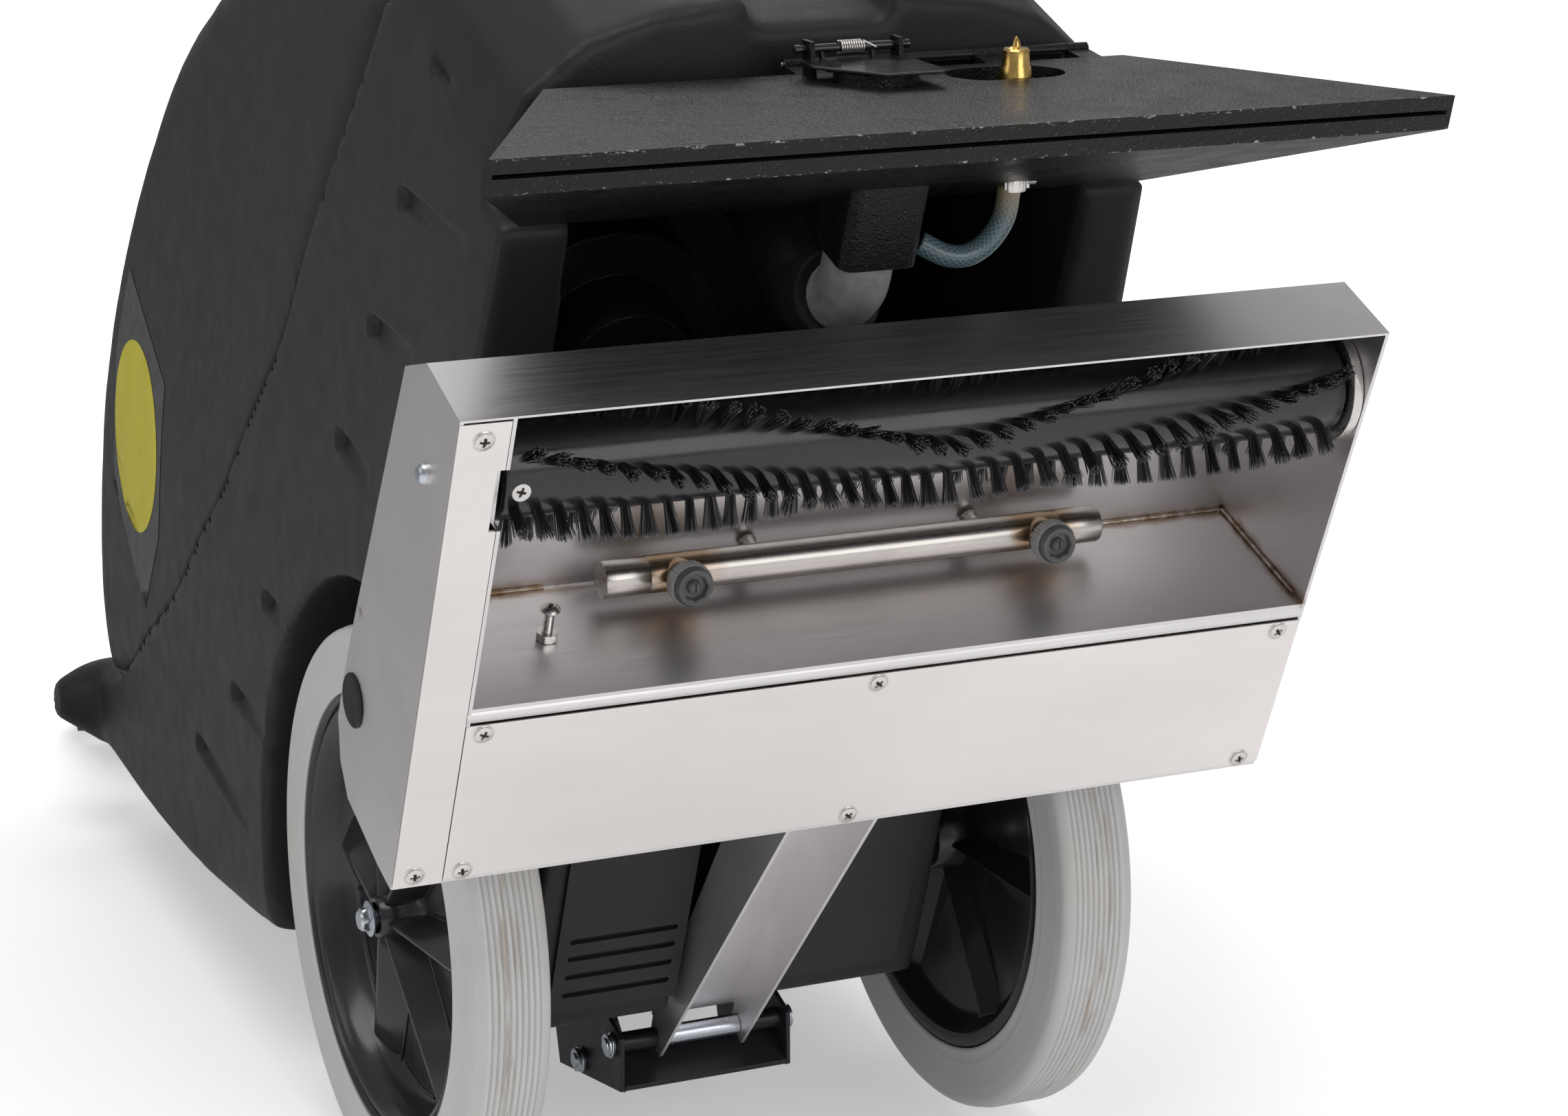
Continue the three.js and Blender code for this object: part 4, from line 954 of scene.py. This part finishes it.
# ---- brush head
HEAD_W = 234.0
HEIGHT_SCREW = (-155, 51)  # x and U
COVER_SCREWS = [(x, f) for f in (230.4, 147.5) for x in (-200.2, 0.0, 221.8)]  # (x, F)
BELT_COVER_SCREWS = [(-221.6, 396.7), (-223.8, 148.2)]
BAR_STAYS = (-40, 80)      # x of the two stays that hold the spray bar
NOZZLE = {"collar": 13.7, "face": 23.0, "slit": (25.6, 26.95)}  # out from the bar's axis
FACE_FRONT, FACE_REAR = (408.4, -2.1), (142.2, 10.3)


def face_at(f):
    """U of the head's open face at F."""
    (f0, u0), (f1, u1) = FACE_FRONT, FACE_REAR
    return u0 + (u1 - u0) * (f - f0) / (f1 - f0)


def screw(centre, out, r, turn, dome=1.6, flat=False, ring=0.0):
    """Cross-recess screw head: a round height field with a cross pressed into it, and the
    dark cross of painted shade at the bottom of the recess. Returns (head, cross)."""
    centre, out = Vector(centre), Vector(out).normalized()
    e1, e2 = axes(out)
    n, rows = 64, 15
    c, s = cos(turn), sin(turn)
    arm, width, depth = 0.54 * r, 0.10 * r, 0.30 * r
    rings = [[tuple(centre - out * 0.3 + (e1 * cos(t) + e2 * sin(t)) * r) for t in turns(n)]]
    for i in range(rows):
        q = 1 - (i / (rows - 1)) ** 1.25
        line = []
        for t in turns(n):
            x, y = r * q * cos(t), r * q * sin(t)
            h = 0.5 + (0.0 if flat else dome * (1 - q ** 2.4))
            a, b = abs(x * c + y * s), abs(-x * s + y * c)
            for along_arm, across_arm in ((a, b), (b, a)):
                if along_arm < arm and across_arm < width * 1.6:
                    edge = min(1.0, (width * 1.6 - across_arm) / (width * 0.7))
                    h = min(h, 0.5 + dome * 0.6 - depth * edge * (1 - 0.55 * along_arm / arm))
            line.append(tuple(centre + out * h + e1 * x + e2 * y))
        rings.append(line)
    head = rings_to_mesh(rings)
    if ring:
        profile = [(r + 0.25, -0.2), (ring, -0.2), (ring, 0.18), (ring - 0.3, 0.4),
                   (r + 0.25, 0.34)]
        head = join(head, lathe(profile, centre, centre + out, closed=True))
    # the dark cross is painted shade, sunk below the recess floor
    level = 0.5 + dome * 0.6 - 0.25 * depth
    cross = []
    for d, w2 in ((e1 * c + e2 * s, -e1 * s + e2 * c), (-e1 * s + e2 * c, e1 * c + e2 * s)):
        reach, half = arm * 0.94, width * 0.95
        cross.append(rings_to_mesh([[tuple(centre + out * h + d * reach * p + w2 * half * q)
                                     for p, q in CORNERS] for h in (level - 0.6, level)]))
    return head, join(*cross)


def floor_side():
    """Outward normal of the head's open face, in machine axes (x, F, U)."""
    (f0, u0), (f1, u1) = FACE_FRONT, FACE_REAR
    d = hypot(f1 - f0, u1 - u0)
    return (0.0, (u0 - u1) / d, (f1 - f0) / d)


def screw_set(name, screws, body, material, smooth=28):
    """Screw heads as one piece and the painted shade in their recesses as another."""
    piece(name, join(*[head for head, _ in screws]), material, body, smooth=smooth)
    piece(name + "_recess", join(*[cross for _, cross in screws]), RECESS_SHADE, body)


def make_cover_screws():
    rng = random.Random(5)
    out = floor_side()
    screw_set("cover_screws", [screw((x, f, face_at(f) - 0.1), out, 4.3,
                                     rng.uniform(0, pi), 1.0, ring=5.3)
                               for x, f in COVER_SCREWS + BELT_COVER_SCREWS],
              "head", SCREW)
    roller = BRUSH["at"]
    side = radians(ROLLER_SCREW)
    out = (0.0, -cos(side), sin(side))
    reach = BRUSH["core"] - 0.35
    centre = (-198.0, roller[0] + out[1] * reach, roller[1] + out[2] * reach)
    screw_set("roller_screw", [screw(centre, out, 4.4, 0.3, 0.5, flat=True)], "brush",
              SCREW)
    for side_name, s in (("left", -1), ("right", 1)):
        screw_set("axle_screw_" + side_name,
                  [screw((s * (HEAD_W + 0.2), *BRUSH["at"]), (s, 0, 0), 5.0, 0.5, 1.9)],
                  "head", SCREW)


def make_brush():
    c, core, tip, x0, x1 = (BRUSH[k] for k in ("at", "core", "tip", "x0", "x1"))
    end = x1 - x0
    profile = [(6.4, 0), (core - 2.4, 0), (core - 1.6, 0.2), (core - 0.4, 1.0), (core, 2.2)]
    profile += [(core, end * k / 24) for k in range(1, 24)]
    profile += [(core, end - 2.2), (core - 0.4, end - 1.0), (core - 1.6, end - 0.2),
                (core - 2.4, end), (6.4, end)]
    piece("brush_core", lathe(profile, (x0, *c), (x1, *c), 96), GLOSS, "brush",
          ["brush_roller"], 40)
    rng = random.Random(11)
    verts, faces, tips, tones = [], [], [], []
    pitch, strands = CHEVRON["pitch"], CHEVRON["strands"]
    for k in range(CHEVRON["rows"]):
        for i in range(int((x1 - x0 - 10) / pitch) + 1):
            x = x0 + 5.5 + i * pitch + (pitch / 2 if k % 2 else 0)
            if x > x1 - 5:
                continue
            a = (CHEVRON["start"] + 2 * pi * k / CHEVRON["rows"]
                 - abs(x - CHEVRON["middle"]) * CHEVRON["twist"])
            lean_x, lean_t = rng.uniform(-1.3, 1.3), rng.uniform(-0.9, 0.9)
            tone = rng.random()
            flare = rng.uniform(1.65, 2.35)
            for b in range(strands):
                t = 2 * pi * b / strands + rng.uniform(-0.2, 0.2)
                q = CHEVRON["tuft"] * sqrt(rng.random())
                root = (q * cos(t), q * sin(t))
                spread = flare * rng.uniform(0.92, 1.08)
                end_at = (root[0] * spread + lean_x + rng.uniform(-0.45, 0.45),
                          root[1] * spread * 0.85 + lean_t + rng.uniform(-0.35, 0.35))
                height = tip - core - rng.uniform(0.0, 1.3)
                thick = rng.uniform(0.2, 0.3)
                base = len(verts)
                for share, width in ((0.0, 1.0), (0.5, 1.0), (0.96, 0.9), (1.0, 0.8)):
                    dx = root[0] + (end_at[0] - root[0]) * share ** 1.3
                    dt = root[1] + (end_at[1] - root[1]) * share ** 1.3
                    r = core - 0.6 + (height + 0.6) * share
                    for o in turns(3):
                        tt = dt + thick * width * sin(o + t)
                        verts.append((x + dx + thick * width * cos(o + t),
                                      c[0] - (r * cos(a) - tt * sin(a)),
                                      c[1] + r * sin(a) + tt * cos(a)))
                    tips += [share] * 3
                    tones += [tone] * 3
                for level in range(3):
                    lo, up = base + level * 3, base + level * 3 + 3
                    faces += [(lo + m, lo + (m + 1) % 3, up + (m + 1) % 3, up + m)
                              for m in range(3)]
                faces += [(base + 2, base + 1, base), (base + 9, base + 10, base + 11)]
    obj = new_object("brush_tufts", (verts, faces))
    point_values(obj, tip=tips, tone=tones)
    finish_piece(obj, BRISTLE, "brush")
    ring = [(6.4, 0), (28.6, 0), (29, 0.4), (29, 4.7), (28.6, 5.1), (27.2, 5.1), (26.6, 4.2),
            (20, 4.0), (19, 5.1), (6.4, 5.1)]
    piece("bearing_end_ring", lathe(ring, (226.6, *c), (231.7, *c), 96), SCREW, "head",
          ["bearing_ring"])


def make_spray():
    c, r, x0, x1 = (SPRAY[k] for k in ("at", "r", "x0", "x1"))
    aim = unit((0, 0), (0.3, -1))

    def off(t):
        return along(c, aim, t)

    def socket(t, radius, d):
        """Eight-sided hole in a nozzle's face."""
        return radius * flat_sided(8, t) if 5.5 < radius < 7 else radius
    span = x1 - x0
    profile = [(r - 1.2, 0), (r - 0.4, 0.3), (r, 1.1), (r, 22.6), (r - 0.25, 23.0), (r, 23.4)]
    profile += [(r, span * k / 16) for k in range(2, 15)]
    profile += [(rr, span - d) for rr, d in reversed(profile[:6])]
    parts = [lathe(profile, (x0, *c), (x1, *c), 72)]
    for x in SPRAY["nozzles"]:
        parts.append(lathe([(8.4, 0), (8.2, 8.2), (7.6, 9.6), (7.0, 10.4), (7.0, 13.3)],
                           (x, *c), (x, *off(1)), 40))
    for x in BAR_STAYS:
        parts.append(lathe([(4, 0), (4, 14.6), (4.8, 16.2)], (x, *c), (x, c[0], 86.6), 24))
    piece("spray_bar_tube", join(*parts), SPRAY_STEEL, "head", ["spray_bar"])
    for x, side in zip(SPRAY["nozzles"], ("left", "right")):
        collar = [(7.4, 0), (8.6, 0), (9.4, 0.6), (10.8, 2.0), (10.8, 3.4), (10.8, 5.4),
                  (10.8, 7.4), (10.8, 8.4), (10.2, 9.4), (7.4, 9.4)]
        grip = lathe(collar, (x, *off(NOZZLE["collar"])), (x, *off(NOZZLE["face"])), 136,
                     flutes(34, 0.7, 1.6, 9.2, 10.0), True)
        tail = lathe([(9.0, 0), (9.4, 0.4), (9.4, 1.0)], (x, *off(13.8)), (x, *off(14.8)), 64)
        piece("nozzle_collar_" + side, join(grip, tail), FITTING, "nozzle_" + side,
              ["nozzle_cap_" + side])
        front = [(7.3, 0), (10.0, 0), (10.0, 0.8), (9.2, 3.0), (8.6, 3.7), (7.3, 3.9),
                 (6.6, 3.3), (6.4, 1.2), (5.9, 0.4), (3.6, 0.4), (3.4, 1.8), (2.6, 3.0),
                 (1.0, 3.7), (0.3, 3.8)]
        piece("nozzle_tip_" + side, lathe(front, (x, *off(NOZZLE["face"])),
                                          (x, *off(NOZZLE["slit"][0])), 96, socket),
              FITTING_DARK, "nozzle_" + side)
        # painted shade: a thin black block on the tip stands for the dark inside of the slit
        slit = rings_to_mesh([[(x + 0.35 * a, *along(off(q), (-aim[1], aim[0]), 1.9 * b))
                               for a, b in CORNERS] for q in NOZZLE["slit"]])
        piece("nozzle_slit_shade_" + side, slit, RUBBER, "nozzle_" + side)


def make_height_screw():
    x, u = HEIGHT_SCREW
    profile = [(1.8, 0)]
    profile += [(2.5 if k % 2 else 2.05, 0.5 + k * 0.45) for k in range(62)]
    profile += [(2.5, 28.8), (2.5, 29.3)]
    stem = lathe(profile, (x, 234, u), (x, 263.2, u), 28)
    head, cross = screw((x, 263.0, u), (0, 1, 0), 4.8, 0.7, 2.2)
    piece("height_screw", join(stem, head), SCREW, "head", ["height_bolt"], 30)
    # painted shade in the screw's cross recess
    piece("height_screw_recess", cross, RECESS_SHADE, "head")
    nut = [(2.8, 0), (4.9, 0), (5.4, 0.5), (5.4, 3.7), (4.9, 4.2), (2.8, 4.2)]
    piece("height_hex_nut", lathe(nut, (x, 246.3, u), (x, 250.5, u), 72,
                                  hexagon(5.4 / cos(pi / 6) * 0.87, -1, 9, 4)),
          SCREW, "head", ["height_nut"])


def make_welds():
    """Beads along the foot of the chamber wall and up its right corner."""
    rng = random.Random(3)

    def bead(a, b, r):
        count = int((Vector(b) - Vector(a)).length / 1.6)
        pts = [tuple(Vector(lerp(a, b, i / count)) + Vector([rng.uniform(-0.12, 0.12)
                                                             for _ in range(3)]))
               for i in range(count + 1)]
        return tube(pts, [r * (0.85 + 0.3 * abs(sin(i * 0.9))) for i in range(count + 1)],
                    8)

    def roof(f):
        """U of the head's inner roof at F."""
        return 96 - (f - 231) * 29 / 163 - 2.0
    parts = [bead((x, 246.6, roof(246.6) - 0.7), (x + 58, 246.6, roof(246.6) - 0.7), 1.1)
             for x in (-200, 150)]
    parts.append(bead((150, 246.6, roof(246) - 0.7), (230, 246.6, roof(246) - 0.7), 1.0))
    parts.append(bead((231.2, 247, roof(247) - 1), (231.2, 247, face_at(247) + 9), 1.0))
    piece("weld_beads", join(*parts), WELD, "head", smooth=60)


# ---- lift chain and shaft clips
PIVOT, LIFT_SHAFT, BRACKET_W = (-86, 120), (-124, 152), 50


def make_chain():
    path = curve([(-30, -107.5, 166), (-24, -96, 160), (-10, -84, 158), (4, -74, 150),
                  (8, -66, 135)], 12)
    lengths = [0.0]
    for p, q in zip(path, path[1:]):
        lengths.append(lengths[-1] + (Vector(q) - Vector(p)).length)

    def point(s):
        for i in range(1, len(path)):
            if lengths[i] >= s:
                t = (s - lengths[i - 1]) / (lengths[i] - lengths[i - 1])
                return Vector(lerp(path[i - 1], path[i], t))
        return Vector(path[-1])
    pitch = 7.2
    links = []
    for k in range(int(lengths[-1] / pitch)):
        s = (k + 0.5) * pitch
        middle, ahead = point(s), point(s + 1)
        d = (ahead - middle).normalized()
        e1, e2 = axes(d)
        across = e1 if k % 2 else e2
        loop = [tuple(middle + d * (copysign(2.6, cos(t)) + 2.3 * cos(t)) + across * 2.3 * sin(t))
                for t in turns(20)]
        links.append(tube(loop, 0.75, 8, closed=True))
    piece("lift_chain_links", join(*links), ZINC, "lift", ["lift_chain"], 80)


def make_clips():
    """Retaining clips on the ends of the pivot and lift shafts."""
    parts = []
    for s in (-1, 1):
        for f, u in (PIVOT, LIFT_SHAFT):
            parts.append(tube([(s * (BRACKET_W + 2.2), f + 6.4 * cos(t), u + 6.4 * sin(t))
                               for t in (0.35 + 5.6 * i / 26 for i in range(27))], 0.9, 8))
    piece("shaft_clips", join(*parts), ZINC, "frame_body", smooth=80)


# ---- vacuum shoe
SLOT_FRONT, SHOE_TOP = (SHOE_LIPS[0], -0.6), (483, 148)
FLAP = {"x0": -24, "x1": 30, "s": 154, "lift": 12}
CONNECT = {"x": 71, "s": 119}
PLATE_UP = unit(SLOT_FRONT, SHOE_TOP)
PLATE_OUT = (PLATE_UP[1], -PLATE_UP[0])


def on_plate(s, h=0.0):
    """Point s up the front plate from the slot and h proud of it."""
    return along(along(SLOT_FRONT, PLATE_UP, s), PLATE_OUT, h)


def make_flap():
    spot = on_plate(FLAP["s"], FLAP["lift"])
    x0, x1 = FLAP["x0"], FLAP["x1"]
    outline = [(x0 + 0.5, 154), (x1 - 0.5, 154), (x1 - 1, 106.5), (x1 - 3.4, 104), (-2, 104),
               (-5, 105), (x0 - 1.6, 134.5), (x0 - 2, 137)]
    plate = rings_to_mesh([[(x, *on_plate(s, h)) for x, s in outline] for h in (5.6, 7.2)])
    lugs = [prism([on_plate(150, 5.8), on_plate(154, 5.8), on_plate(155, 12),
                   on_plate(153, 12)], x, x + 2) for x in (-14, 12)]
    barrel = [(1.6, 0), (2.1, 0.5), (2.1, 3), (1.7, 3.2), (1.7, 4.0), (2.1, 4.2), (2.1, 56),
              (1.7, 56.2), (1.7, 57), (2.1, 57.2), (2.1, 59.5), (1.6, 60)]
    piece("port_flap_plate", join(plate, *lugs), GLOSS, "flap",
          ["port_flap"], bevel=0.4)
    piece("port_flap_pin", lathe(barrel, (x0 - 3, *spot), (x1 + 3, *spot), 40), GLOSS, "flap")
    rounds, coil_r, wire_r = 10, 2.95, 0.55
    coil = []
    for t in (i / 24 for i in range(rounds * 24 + 1)):
        coil.append((-4.2 + 12.4 * t / rounds, spot[0] + coil_r * cos(2 * pi * t),
                     spot[1] + coil_r * sin(2 * pi * t)))
    x, *end = coil[-1]
    leg = [(x + 0.5 * k, *along(along(end, PLATE_UP, -1.4 * k), PLATE_OUT, -0.35 * k))
           for k in range(1, 7)]
    piece("flap_torsion_spring", tube(coil + leg, wire_r, 8), SCREW, "shoe",
          ["flap_spring"], 80)


def make_connector():
    """Brass quick coupler through the shoe, the braided hose below it and its fittings."""
    x, s = CONNECT["x"], CONNECT["s"]
    profile = [(0.5, 0), (2.4, 0), (3.2, 1.0), (4.2, 3), (3.7, 5), (4.2, 7), (3.6, 10),
               (5.6, 10.2), (5.6, 24.6), (7.0, 25.2), (7.8, 26), (7.8, 31.6), (7.3, 32.2),
               (7.3, 32.9), (7.8, 33.5), (8.1, 46), (7.4, 48.8), (7.2, 50.2), (6.6, 51.4),
               (6.4, 58), (5.6, 59), (3.0, 59.2), (2.2, 59.7), (1.7, 61.6), (1.0, 63.6),
               (0.4, 64.3)]
    piece("brass_coupler", lathe(profile, (x, *on_plate(s, -46)), (x, *on_plate(s, 0)), 72),
          BRASS, "shoe", ["quick_connect"], 30)
    line = curve([(x, *on_plate(s, -46.8)), (69.5, 444, 94), (67, 432, 90), (60, 421, 88),
                  (50, 414.8, 87.4), (39, 414.8, 89), (27.5, 419, 95)], 12)
    obj = new_object("supply_hose_braided", tube(line, 5.6, 24))
    count = len(line)
    point_values(obj, run=[i / (count - 1) for i in range(count) for _ in range(24)],
                 turn=[min(j, 24 - j) / 12 for _ in range(count) for j in range(24)])
    for face in obj.data.polygons:
        face.use_smooth = len(face.vertices) == 4
    finish_piece(obj, HOSE, "shoe", ["supply_hose"])
    band = lathe([(5.8, 0), (6.5, 0.2), (6.8, 0.6), (6.8, 3), (6.8, 5.6), (6.5, 6.2), (5.8, 6.4)],
                 (x, *on_plate(s, -48)), (x, *on_plate(s, -60)), 72,
                 flutes(18, 0.35, 0, 9, 6.6))
    lug = rod((x + 7.4, *on_plate(s, -50)), (x + 12.4, *on_plate(s, -50)), 2.0, 24, 0.4)
    ear = rings_to_mesh([[(x + a, *along(on_plate(s, h), PLATE_UP, b)) for a, b in
                          ((5.9, -1.6), (8.6, -1.2), (8.6, 1.2), (5.9, 1.6))]
                         for h in (-50, -53.4)])
    piece("hose_clamp", join(band, lug, ear), SCREW, "shoe", smooth=40)


# ---- handle
def grip_pattern(t, radius, d):
    """Rows of finger ribs pressed into a grip."""
    if radius > GRIP_R - 0.1:
        return radius - 1.1 * (0.5 + 0.5 * cos(d * 1.6)) * (0.5 + 0.5 * cos(16 * t))
    return radius


def make_handle():
    d = unit(LEG_FOOT, LEG_TOP)
    turn = 46
    foot, knee = along(LEG_FOOT, d, 3), along(LEG_TOP, d, -turn)
    line = []
    for s in (-1, 1):
        leg = [(s * LEG_X, *lerp(foot, knee, k / 10)) for k in range(11)]
        for k in range(1, 13):
            a = k / 12 * pi / 2
            leg.append((s * (LEG_X - turn + turn * cos(a)),
                        *along(knee, d, turn * sin(a))))
        line += leg if s < 0 else leg[::-1]
    piece("handle_tube_bent", tube(line, LEG_R, 32), COAT, "frame_body",
          ["handle_tube"], 60)
    for side, s in (("left", -1), ("right", 1)):
        profile = [(LEG_R + 0.8, 0), (GRIP_R - 0.6, 0), (GRIP_R, 1)]
        profile += [(GRIP_R, 1 + k) for k in range(1, 52)]
        profile += [(GRIP_R, 53), (GRIP_R - 0.6, 54), (LEG_R + 0.8, 54)]
        piece("grip_sleeve_" + side,
              lathe(profile, (s * 16, *LEG_TOP), (s * 70, *LEG_TOP), 80, grip_pattern),
              RUBBER, "frame_body", ["grip_" + side], 60)


# ---- printed mark on the left flank
def make_decal():
    """Plain yellow disc on a grey six-sided patch, with no lettering."""
    centre = (-38.0, 674.0)

    def flank(f, u, lift):
        return -(float(half_width(f, u)) + lift)
    outline = [(53, 727), (-14, 737), (-103, 722), (-132, 621), (-66, 603), (33, 620)]

    def sheet(points, lift):
        mid = tuple(sum(p[k] for p in points) / len(points) for k in (0, 1))
        under, over = ([[(flank(f, u, h), f, u) for f, u in (lerp(mid, p, share) for p in points)]
                        for share in (0.02, 0.35, 0.7, 1.0)] for h in (lift, lift + 0.12))
        return rings_to_mesh(under[::-1] + over)
    hexa = []
    for p, q in zip(outline, outline[1:] + outline[:1]):
        hexa += [lerp(p, q, k / 8) for k in range(8)]
    disc = [(centre[0] + 62 * cos(t), centre[1] + 56 * sin(t))
            for t in turns(72)]
    piece("flank_patch", sheet(hexa, 0.15), decal_print("patch_grey", (0.085, 0.083, 0.088)),
          "frame_body", smooth=50)
    piece("flank_disc", sheet(disc, 0.4), decal_print("patch_yellow", (0.78, 0.68, 0.05)),
          "frame_body", smooth=50)


# ---- nodes kept from the CAD
CARRIED = [  # material, edge radius, segments, edge angle, nodes
    (COVER, 0.25, 2, 30, "motor_cover belt_cover"), (STEEL, 0.45, 2, 30, "head_shell"),
    # the arm's lighter copy of the stainless is painted light
    (LIT_ARM_STEEL, 0.45, 2, 30, "arm_channel"), (PANEL, 0.5, 2, 30, "underbody_panel lift_bracket"),
    (SHOE_COAT, 0.5, 2, 30, "vac_shoe"), (SATIN, 0.3, 2, 50, "shoe_hinge"),
    (COAT, 0.8, 2, 50, "vacuum_motor brush_motor"),
    (RUBBER, 0.4, 2, 50, "recovery_hose hose_cuff side_plug drive_belt mains_inlet"),
    (ELBOW, 0.4, 2, 50, "elbow_pipe"),
    (ZINC, 0.25, 2, 50, "wheel_axle pivot_shaft lift_shaft motor_pulley pivot_sleeve "
                        "shoe_hinge_pin axle_bolt_left axle_bolt_right"),
    (SATIN, 0.3, 2, 50, "pivot_spacer_left pivot_spacer_right brush_pulley"),
    (SATIN, 1.2, 3, 30, "switch_box rocker_brush rocker_vacuum rocker_pump")]


def carry_nodes():
    for material, bevel, segments, angle, names in CARRIED:
        for node in names.split():
            carry(node, material, bevel, segments, angle)


# ---- studio
def make_floor():
    """Pale floor that glows towards its edges. Only the camera sees it white all over: what
    the object mirrors of it darkens towards the back, as in a photographer's cove."""
    far = 40
    floor = new_object("studio_floor", ([(x * far, y * far, 0) for x, y in CORNERS],
                                        [(0, 1, 2, 3)]), lambda *v: v)
    s = Shader("studio_floor", gray(0.92), rough=0.85)
    seen = s.node("ShaderNodeLightPath").outputs["Is Camera Ray"]
    y = s.node("ShaderNodeSeparateXYZ", {"Vector": s.where}).outputs["Y"]
    behind = s.ramp(y, -0.5, 0.3)
    s.finish(s.mix(seen, s.mix(behind, gray(0.92), gray(0.45)), gray(0.92)),
             s.noise(3, 2), 0.3, 0.7, 0.8, 0.9)
    away = s.node("ShaderNodeVectorMath", {0: s.where}, operation="LENGTH").outputs["Value"]
    s.main.inputs["Emission Color"].default_value = (1, 1, 1, 1)
    glow = s.math("MULTIPLY", seen, s.ramp(away, 0.42, 1.05, 0.40, 0.9))
    bounce = s.math("MULTIPLY", s.math("SUBTRACT", 1.0, seen), s.ramp(y, -0.5, 0.3, 0.26, 0.0))
    s.set("Emission Strength", s.math("ADD", glow, bounce))
    floor.data.materials.append(s.material)


def make_room():
    """White to the camera; a dim room, darkest at eye level, to everything else."""
    world = bpy.data.worlds.new("studio")
    bpy.context.scene.world = world
    world.use_nodes = True
    tree = world.node_tree
    tree.nodes.clear()

    def node(kind, **inputs):
        n = tree.nodes.new("ShaderNode" + kind)
        for key, value in inputs.items():
            n.inputs[key].default_value = value
        return n
    out, mix, split = node("OutputWorld"), node("MixShader"), node("SeparateXYZ")
    white = node("Background", Color=(1, 1, 1, 1), Strength=1.05)
    room = node("Background", Strength=0.42)
    ramp = node("ValToRGB")
    stops = ramp.color_ramp.elements
    stops[0].position, stops[0].color = 0.0, (0.9, 0.9, 0.9, 1)
    stops[1].position, stops[1].color = 1.0, (1.1, 1.1, 1.12, 1)
    stops.new(0.5).color = (0.6, 0.6, 0.61, 1)
    for source, target in ((node("TexCoord").outputs["Generated"], split.inputs[0]),
                           (split.outputs["Z"], ramp.inputs[0]),
                           (ramp.outputs[0], room.inputs["Color"]),
                           (node("LightPath").outputs["Is Camera Ray"], mix.inputs[0]),
                           (room.outputs[0], mix.inputs[1]),
                           (white.outputs[0], mix.inputs[2]),
                           (mix.outputs[0], out.inputs[0])):
        tree.links.new(source, target)


LAMPS = {  # where, aimed at, size in metres, watts
    "key_top": ((-0.6, -0.9, 3.4), (0, -0.2, 0.3), (2.6, 1.8), 36),
    "fill_front": ((0.9, -4.0, 1.5), (0, -0.4, 0.35), (2.4, 2.0), 27),
    "edge_left": ((-3.2, -0.2, 1.9), (-0.1, -0.1, 0.35), (1.4, 2.2), 9),
    "back_top": ((0.8, 2.6, 2.8), (0, 0.2, 0.4), (2.2, 1.6), 20)}


def make_studio():
    scene = bpy.context.scene
    scene.view_settings.view_transform = "Standard"
    make_floor()
    make_room()
    for name, (where, aim, size, power) in LAMPS.items():
        data = bpy.data.lights.new(name, "AREA")
        data.shape = "RECTANGLE"
        data.size, data.size_y = size
        data.energy = power
        lamp = bpy.data.objects.new(name, data)
        scene.collection.objects.link(lamp)
        lamp.location = where
        lamp.rotation_euler = (Vector(aim) - Vector(where)).to_track_quat("-Z", "Y").to_euler()


CAMERA = {"from_axle": (-0.7818, -1.8145, 0.8351), "tilt": 75.527, "turn": -24.655,
          "lens": 89.09}  # solved from the photo, over the floor below the axle


def make_camera():
    data = bpy.data.cameras.new("photo_view")
    data.lens, data.sensor_width = CAMERA["lens"], 36.0
    camera = bpy.data.objects.new("photo_view", data)
    bpy.context.scene.collection.objects.link(camera)
    shift = CENTRE - Vector((0, 0, WHEEL_R / 1000))
    camera.location = Vector(CAMERA["from_axle"]) + shift
    camera.rotation_euler = (radians(CAMERA["tilt"]), 0, radians(CAMERA["turn"]))
    bpy.context.scene.camera = camera


for make in (make_camera, make_studio, carry_nodes, make_lower_tank, make_recovery_tank,
             make_lid):
    make()
make_cap("fill_cap_grip", "fill", 0, FILL, "fill_cap")
make_cap("drain_cap_grip", "drain", -70, DRAIN, "drain_cap")
make_wheel("left", -1)
make_wheel("right", 1)
for make in (make_cover_screws, make_brush, make_spray, make_height_screw, make_welds,
             make_chain, make_clips, make_flap, make_connector, make_handle, make_decal):
    make()
